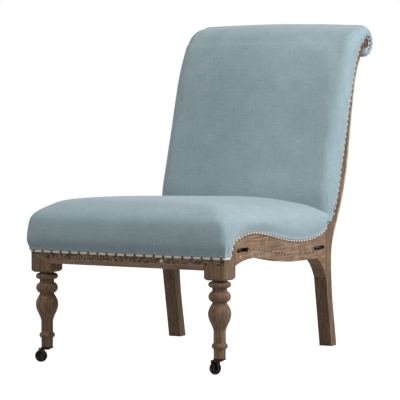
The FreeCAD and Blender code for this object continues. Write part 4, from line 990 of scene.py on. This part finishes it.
tape_mid = (tape_low[2] + tape_high[2]) / 2
tape_y = tape_low[1] + TAPE_IN
tape_x = tape_high[0] - TAPE_IN
tape = trim("front_tape",
            [(-tape_x, tape_high[1], tape_mid), (-tape_x, tape_y, tape_mid),
             (tape_x, tape_y, tape_mid), (tape_x, tape_high[1], tape_mid)],
            lambda along: Vector((along.y, -along.x, 0)).normalized(), TAPE_WIDE, TAPE_THICK,
            pinched_at_tacks, cream_cotton)
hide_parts("front_braid")
for side, way in (("left", -1), ("right", 1)):
    corners = [(way * (rail_face(y) + BRAID_OFF), y, hem_top(y) - BRAID_WIDE / 2)
               for y in np.arange(leg_axis + HEM_ENDS[0], seat_rear - HEM_ENDS[1], HEM_STEP)]
    braid = trim(f"side_hem_braid_{side}", corners, sideways, BRAID_WIDE, BRAID_THICK, stitched,
                 cream_cotton)
    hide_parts(f"side_braid_{side}")
    trim(f"side_hem_shadow_cord_{side}", [(x, y, z - CORD_BELOW) for x, y, z in corners],
         sideways, CORD_WIDE, CORD_THICK, frayed, shadow_line_cord)
    corners = []
    for z in np.arange(edge_low.z + EDGE_ENDS[0], edge_high.z - EDGE_ENDS[1], EDGE_STEP):
        corners.append(Vector((way * post_face, post_edge(z).y + EDGE_BACK, z)))
    below = corners[0] - corners[1]
    corners = [corners[0] + below * k for k in range(EDGE_BELOW, 0, -1)] + corners
    braid = trim(f"back_edge_braid_{side}", corners, sideways, EDGE_WIDE, BRAID_THICK, stitched,
                 cream_cotton)
    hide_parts(f"back_braid_{side}")
    corners = [eye + Vector((way * (post_face + FRAY_OFF), EYE_RIM * math.cos(turn),
                             EYE_RIM * math.sin(turn)))
               for turn in np.linspace(FRAY_FROM, ROLL_END, FRAY_POINTS)]
    trim(f"roll_end_fray_{side}", corners, sideways, FRAY_WIDE, FRAY_THICK, frayed, cream_cotton)


# Tacks: blued steel with small round heads, driven through the front tape, round the panel
# that closes the back, and round the scroll's eyes.
EYE_TACKS = (104, 62, 22, -18, -60, -98)     # degrees round the scroll's eye
EYE_TACK_COLUMN = 3
EYE_TACK_R = (2.2 * MM, 2.7 * MM)
HEAD_RINGS = ((1.0, -0.3 * MM), (0.8, 0.9 * MM), (0.4, 1.4 * MM))     # share of size, height
TACK_RUST = 3.0 * MM       # spots of rust

# Blued steel is nearly black, with a soft shine and brown rust in spots.
blued_tack = mottled("blued_steel_tack", "#1C1918", "#4A3B33", TACK_RUST, 0.45, metallic=1.0)
dress(blued_tack, "front_tacks", "outside_back_tacks")
spots = []
for turn in EYE_TACKS:
    row = LOWER_ROWS + BACK_ROWS + round((math.pi - math.radians(turn)) / (math.pi - ROLL_CLOSE)
                                         * (ROLL_ROWS - 1))
    for column in (EYE_TACK_COLUMN, back_columns - 1 - EYE_TACK_COLUMN):
        vertex = back.data.vertices[row * back_columns + column]
        spots.append((vertex.co.copy(), vertex.normal.copy()))
round_marks("roll_end_tacks", spots, EYE_TACK_R, HEAD_RINGS, (blued_tack,))


# The outside of the back: a panel of burlap stretched over the posts' backs, turned round onto
# their sides and tacked there.
PANEL_ROWS = 90
PANEL_CELLS = 70
WRAP = 9.0 * MM            # how far it turns onto each post's side
WRAP_CELLS = 5
PANEL_THICK = 1.2 * MM
PANEL_SLACK = 1.5 * MM     # it stands out this much between the posts
PANEL_END = 1.0 * MM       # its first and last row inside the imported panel's ends
PANEL_OFF = 0.3 * MM       # outside the post's face
PANEL_FRAY = ((1.2 * MM, 7.0 * MM), (0.8 * MM, 2.9 * MM))     # depth and run of its cut edge's waves
PANEL_READ = (0.2, 1.0)    # its back is read by rays from here, between the posts and behind them
POST_ROUND = 3.0 * MM      # rounding where it turns onto the post's side
POST_BENDS = (0.3, 0.8, 1.3)      # radians round that edge
panel_low, panel_high = (Vector(c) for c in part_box("outside_back"))
panel_skin = skin_of("outside_back")
points = []
for z in np.linspace(panel_low.z + PANEL_END, panel_high.z - PANEL_END, PANEL_ROWS):
    behind = panel_skin.ray_cast(Vector((*PANEL_READ, z)), Vector((0, -1, 0)))[0]
    fray = sum(deep * math.sin(z / run) for deep, run in PANEL_FRAY)
    half = [(post_face + PANEL_OFF, behind.y - (WRAP + fray) * (1 - k / WRAP_CELLS))
            for k in range(WRAP_CELLS)]
    half += [(post_face - POST_ROUND + POST_ROUND * math.cos(bend),
              behind.y - POST_ROUND + POST_ROUND * math.sin(bend)) for bend in POST_BENDS]
    flat_half = post_face - POST_ROUND
    row = list(half)
    for k in range(PANEL_CELLS + 1):
        x = flat_half * (1 - 2 * k / PANEL_CELLS)
        share = 1 - abs(x) / flat_half
        row.append((x, behind.y + PANEL_SLACK * math.sin(math.pi / 2 * min(1.0, share * 2))))
    row += [(-x, y) for x, y in reversed(half)]
    points += [(x, y, z) for x, y in row]
columns = len(points) // PANEL_ROWS
faces = [face[::-1] for face in grid_faces(PANEL_ROWS, columns)]
panel = new_piece("outside_back_burlap", points, faces, burlap)
thicken(panel, PANEL_THICK, 1.0)
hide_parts("outside_back")


# The studio: a pale floor, a large soft lamp high on the chair's right, a weaker one in front,
# and the camera where the photograph was taken from.
FLOOR_HALF = 6.0
FLOOR_LIFT = 0.88          # glow that only the camera sees, so that the floor reads white
CAMERA_AT = Vector((2.745, -5.13255, 0.721))
CAMERA_AIM = Vector((0.03203, -0.12875, 0.40681))
LENS_MM = 196.85           # on a 36 mm sensor
AMBIENT = 0.31             # light from all round, which the camera sees as white
LAMP_AIM = Vector((0, 0, 0.4))


def in_sight(tree):
    """One for the rays that show a thing to the camera, straight, mirrored or through glass."""
    seen = add_node(tree, "ShaderNodeLightPath", {}, {})
    mirrored = add_node(tree, "ShaderNodeMath", {"operation": "MAXIMUM"},
                        {0: seen.outputs["Is Glossy Ray"], 1: seen.outputs["Is Transmission Ray"]})
    shown = add_node(tree, "ShaderNodeMath", {"operation": "MAXIMUM"},
                     {0: seen.outputs["Is Camera Ray"], 1: mirrored.outputs[0]})
    return shown.outputs[0]


# Floor paper is plain matte white.
floor_paper, tree, place = start_material("white_floor_paper")
lift = add_node(tree, "ShaderNodeMath", {"operation": "MULTIPLY"},
                {0: in_sight(tree), 1: FLOOR_LIFT})
paper = add_node(tree, "ShaderNodeBsdfDiffuse", {}, {"Color": linear("#A8A8A8")})
glow = add_node(tree, "ShaderNodeEmission", {}, {"Strength": lift.outputs[0]})
both = add_node(tree, "ShaderNodeAddShader", {}, {0: paper.outputs[0], 1: glow.outputs[0]})
add_node(tree, "ShaderNodeOutputMaterial", {}, {"Surface": both.outputs[0]})
floor_mesh = bpy.data.meshes.new("floor")
floor_corners = [(x * FLOOR_HALF, y * FLOOR_HALF, 0) for x, y in ((-1, -1), (1, -1), (1, 1), (-1, 1))]
floor_mesh.from_pydata(floor_corners, [], [(0, 1, 2, 3)])
floor_mesh.materials.append(floor_paper)
floor = bpy.data.objects.new("floor", floor_mesh)
bpy.context.scene.collection.objects.link(floor)

world = bpy.data.worlds.new("studio")
world.use_nodes = True
bpy.context.scene.world = world
tree = world.node_tree
tree.nodes.clear()
strength = add_node(tree, "ShaderNodeMapRange", {},
                    {"Value": in_sight(tree), "To Min": AMBIENT, "To Max": 1.0})
sky = add_node(tree, "ShaderNodeBackground", {},
               {"Color": linear("#FFFFFF"), "Strength": strength.outputs[0]})
add_node(tree, "ShaderNodeOutputWorld", {}, {"Surface": sky.outputs[0]})

LAMPS = (
    ("high_right_lamp", (3.1, 0.2, 2.2), 1.8, 110.0, (0.97, 1.0, 1.03)),
    ("front_lamp", (-0.5, -2.2, 3.2), 2.0, 42.0, (1.0, 0.99, 0.95)),
)
for name, spot, size, power, tint in LAMPS:
    light = bpy.data.lights.new(name, "AREA")
    light.size = size
    light.energy = power
    light.color = tint
    lamp = bpy.data.objects.new(name, light)
    lamp.location = spot
    lamp.rotation_euler = (LAMP_AIM - Vector(spot)).to_track_quat("-Z", "Y").to_euler()
    bpy.context.scene.collection.objects.link(lamp)

lens = bpy.data.cameras.new("camera")
lens.lens = LENS_MM
lens.clip_end = 50.0
camera = bpy.data.objects.new("camera", lens)
camera.location = CAMERA_AT
camera.rotation_euler = (CAMERA_AIM - CAMERA_AT).to_track_quat("-Z", "Y").to_euler()
bpy.context.scene.collection.objects.link(camera)
bpy.context.scene.camera = camera
bpy.context.scene.view_settings.view_transform = "Standard"
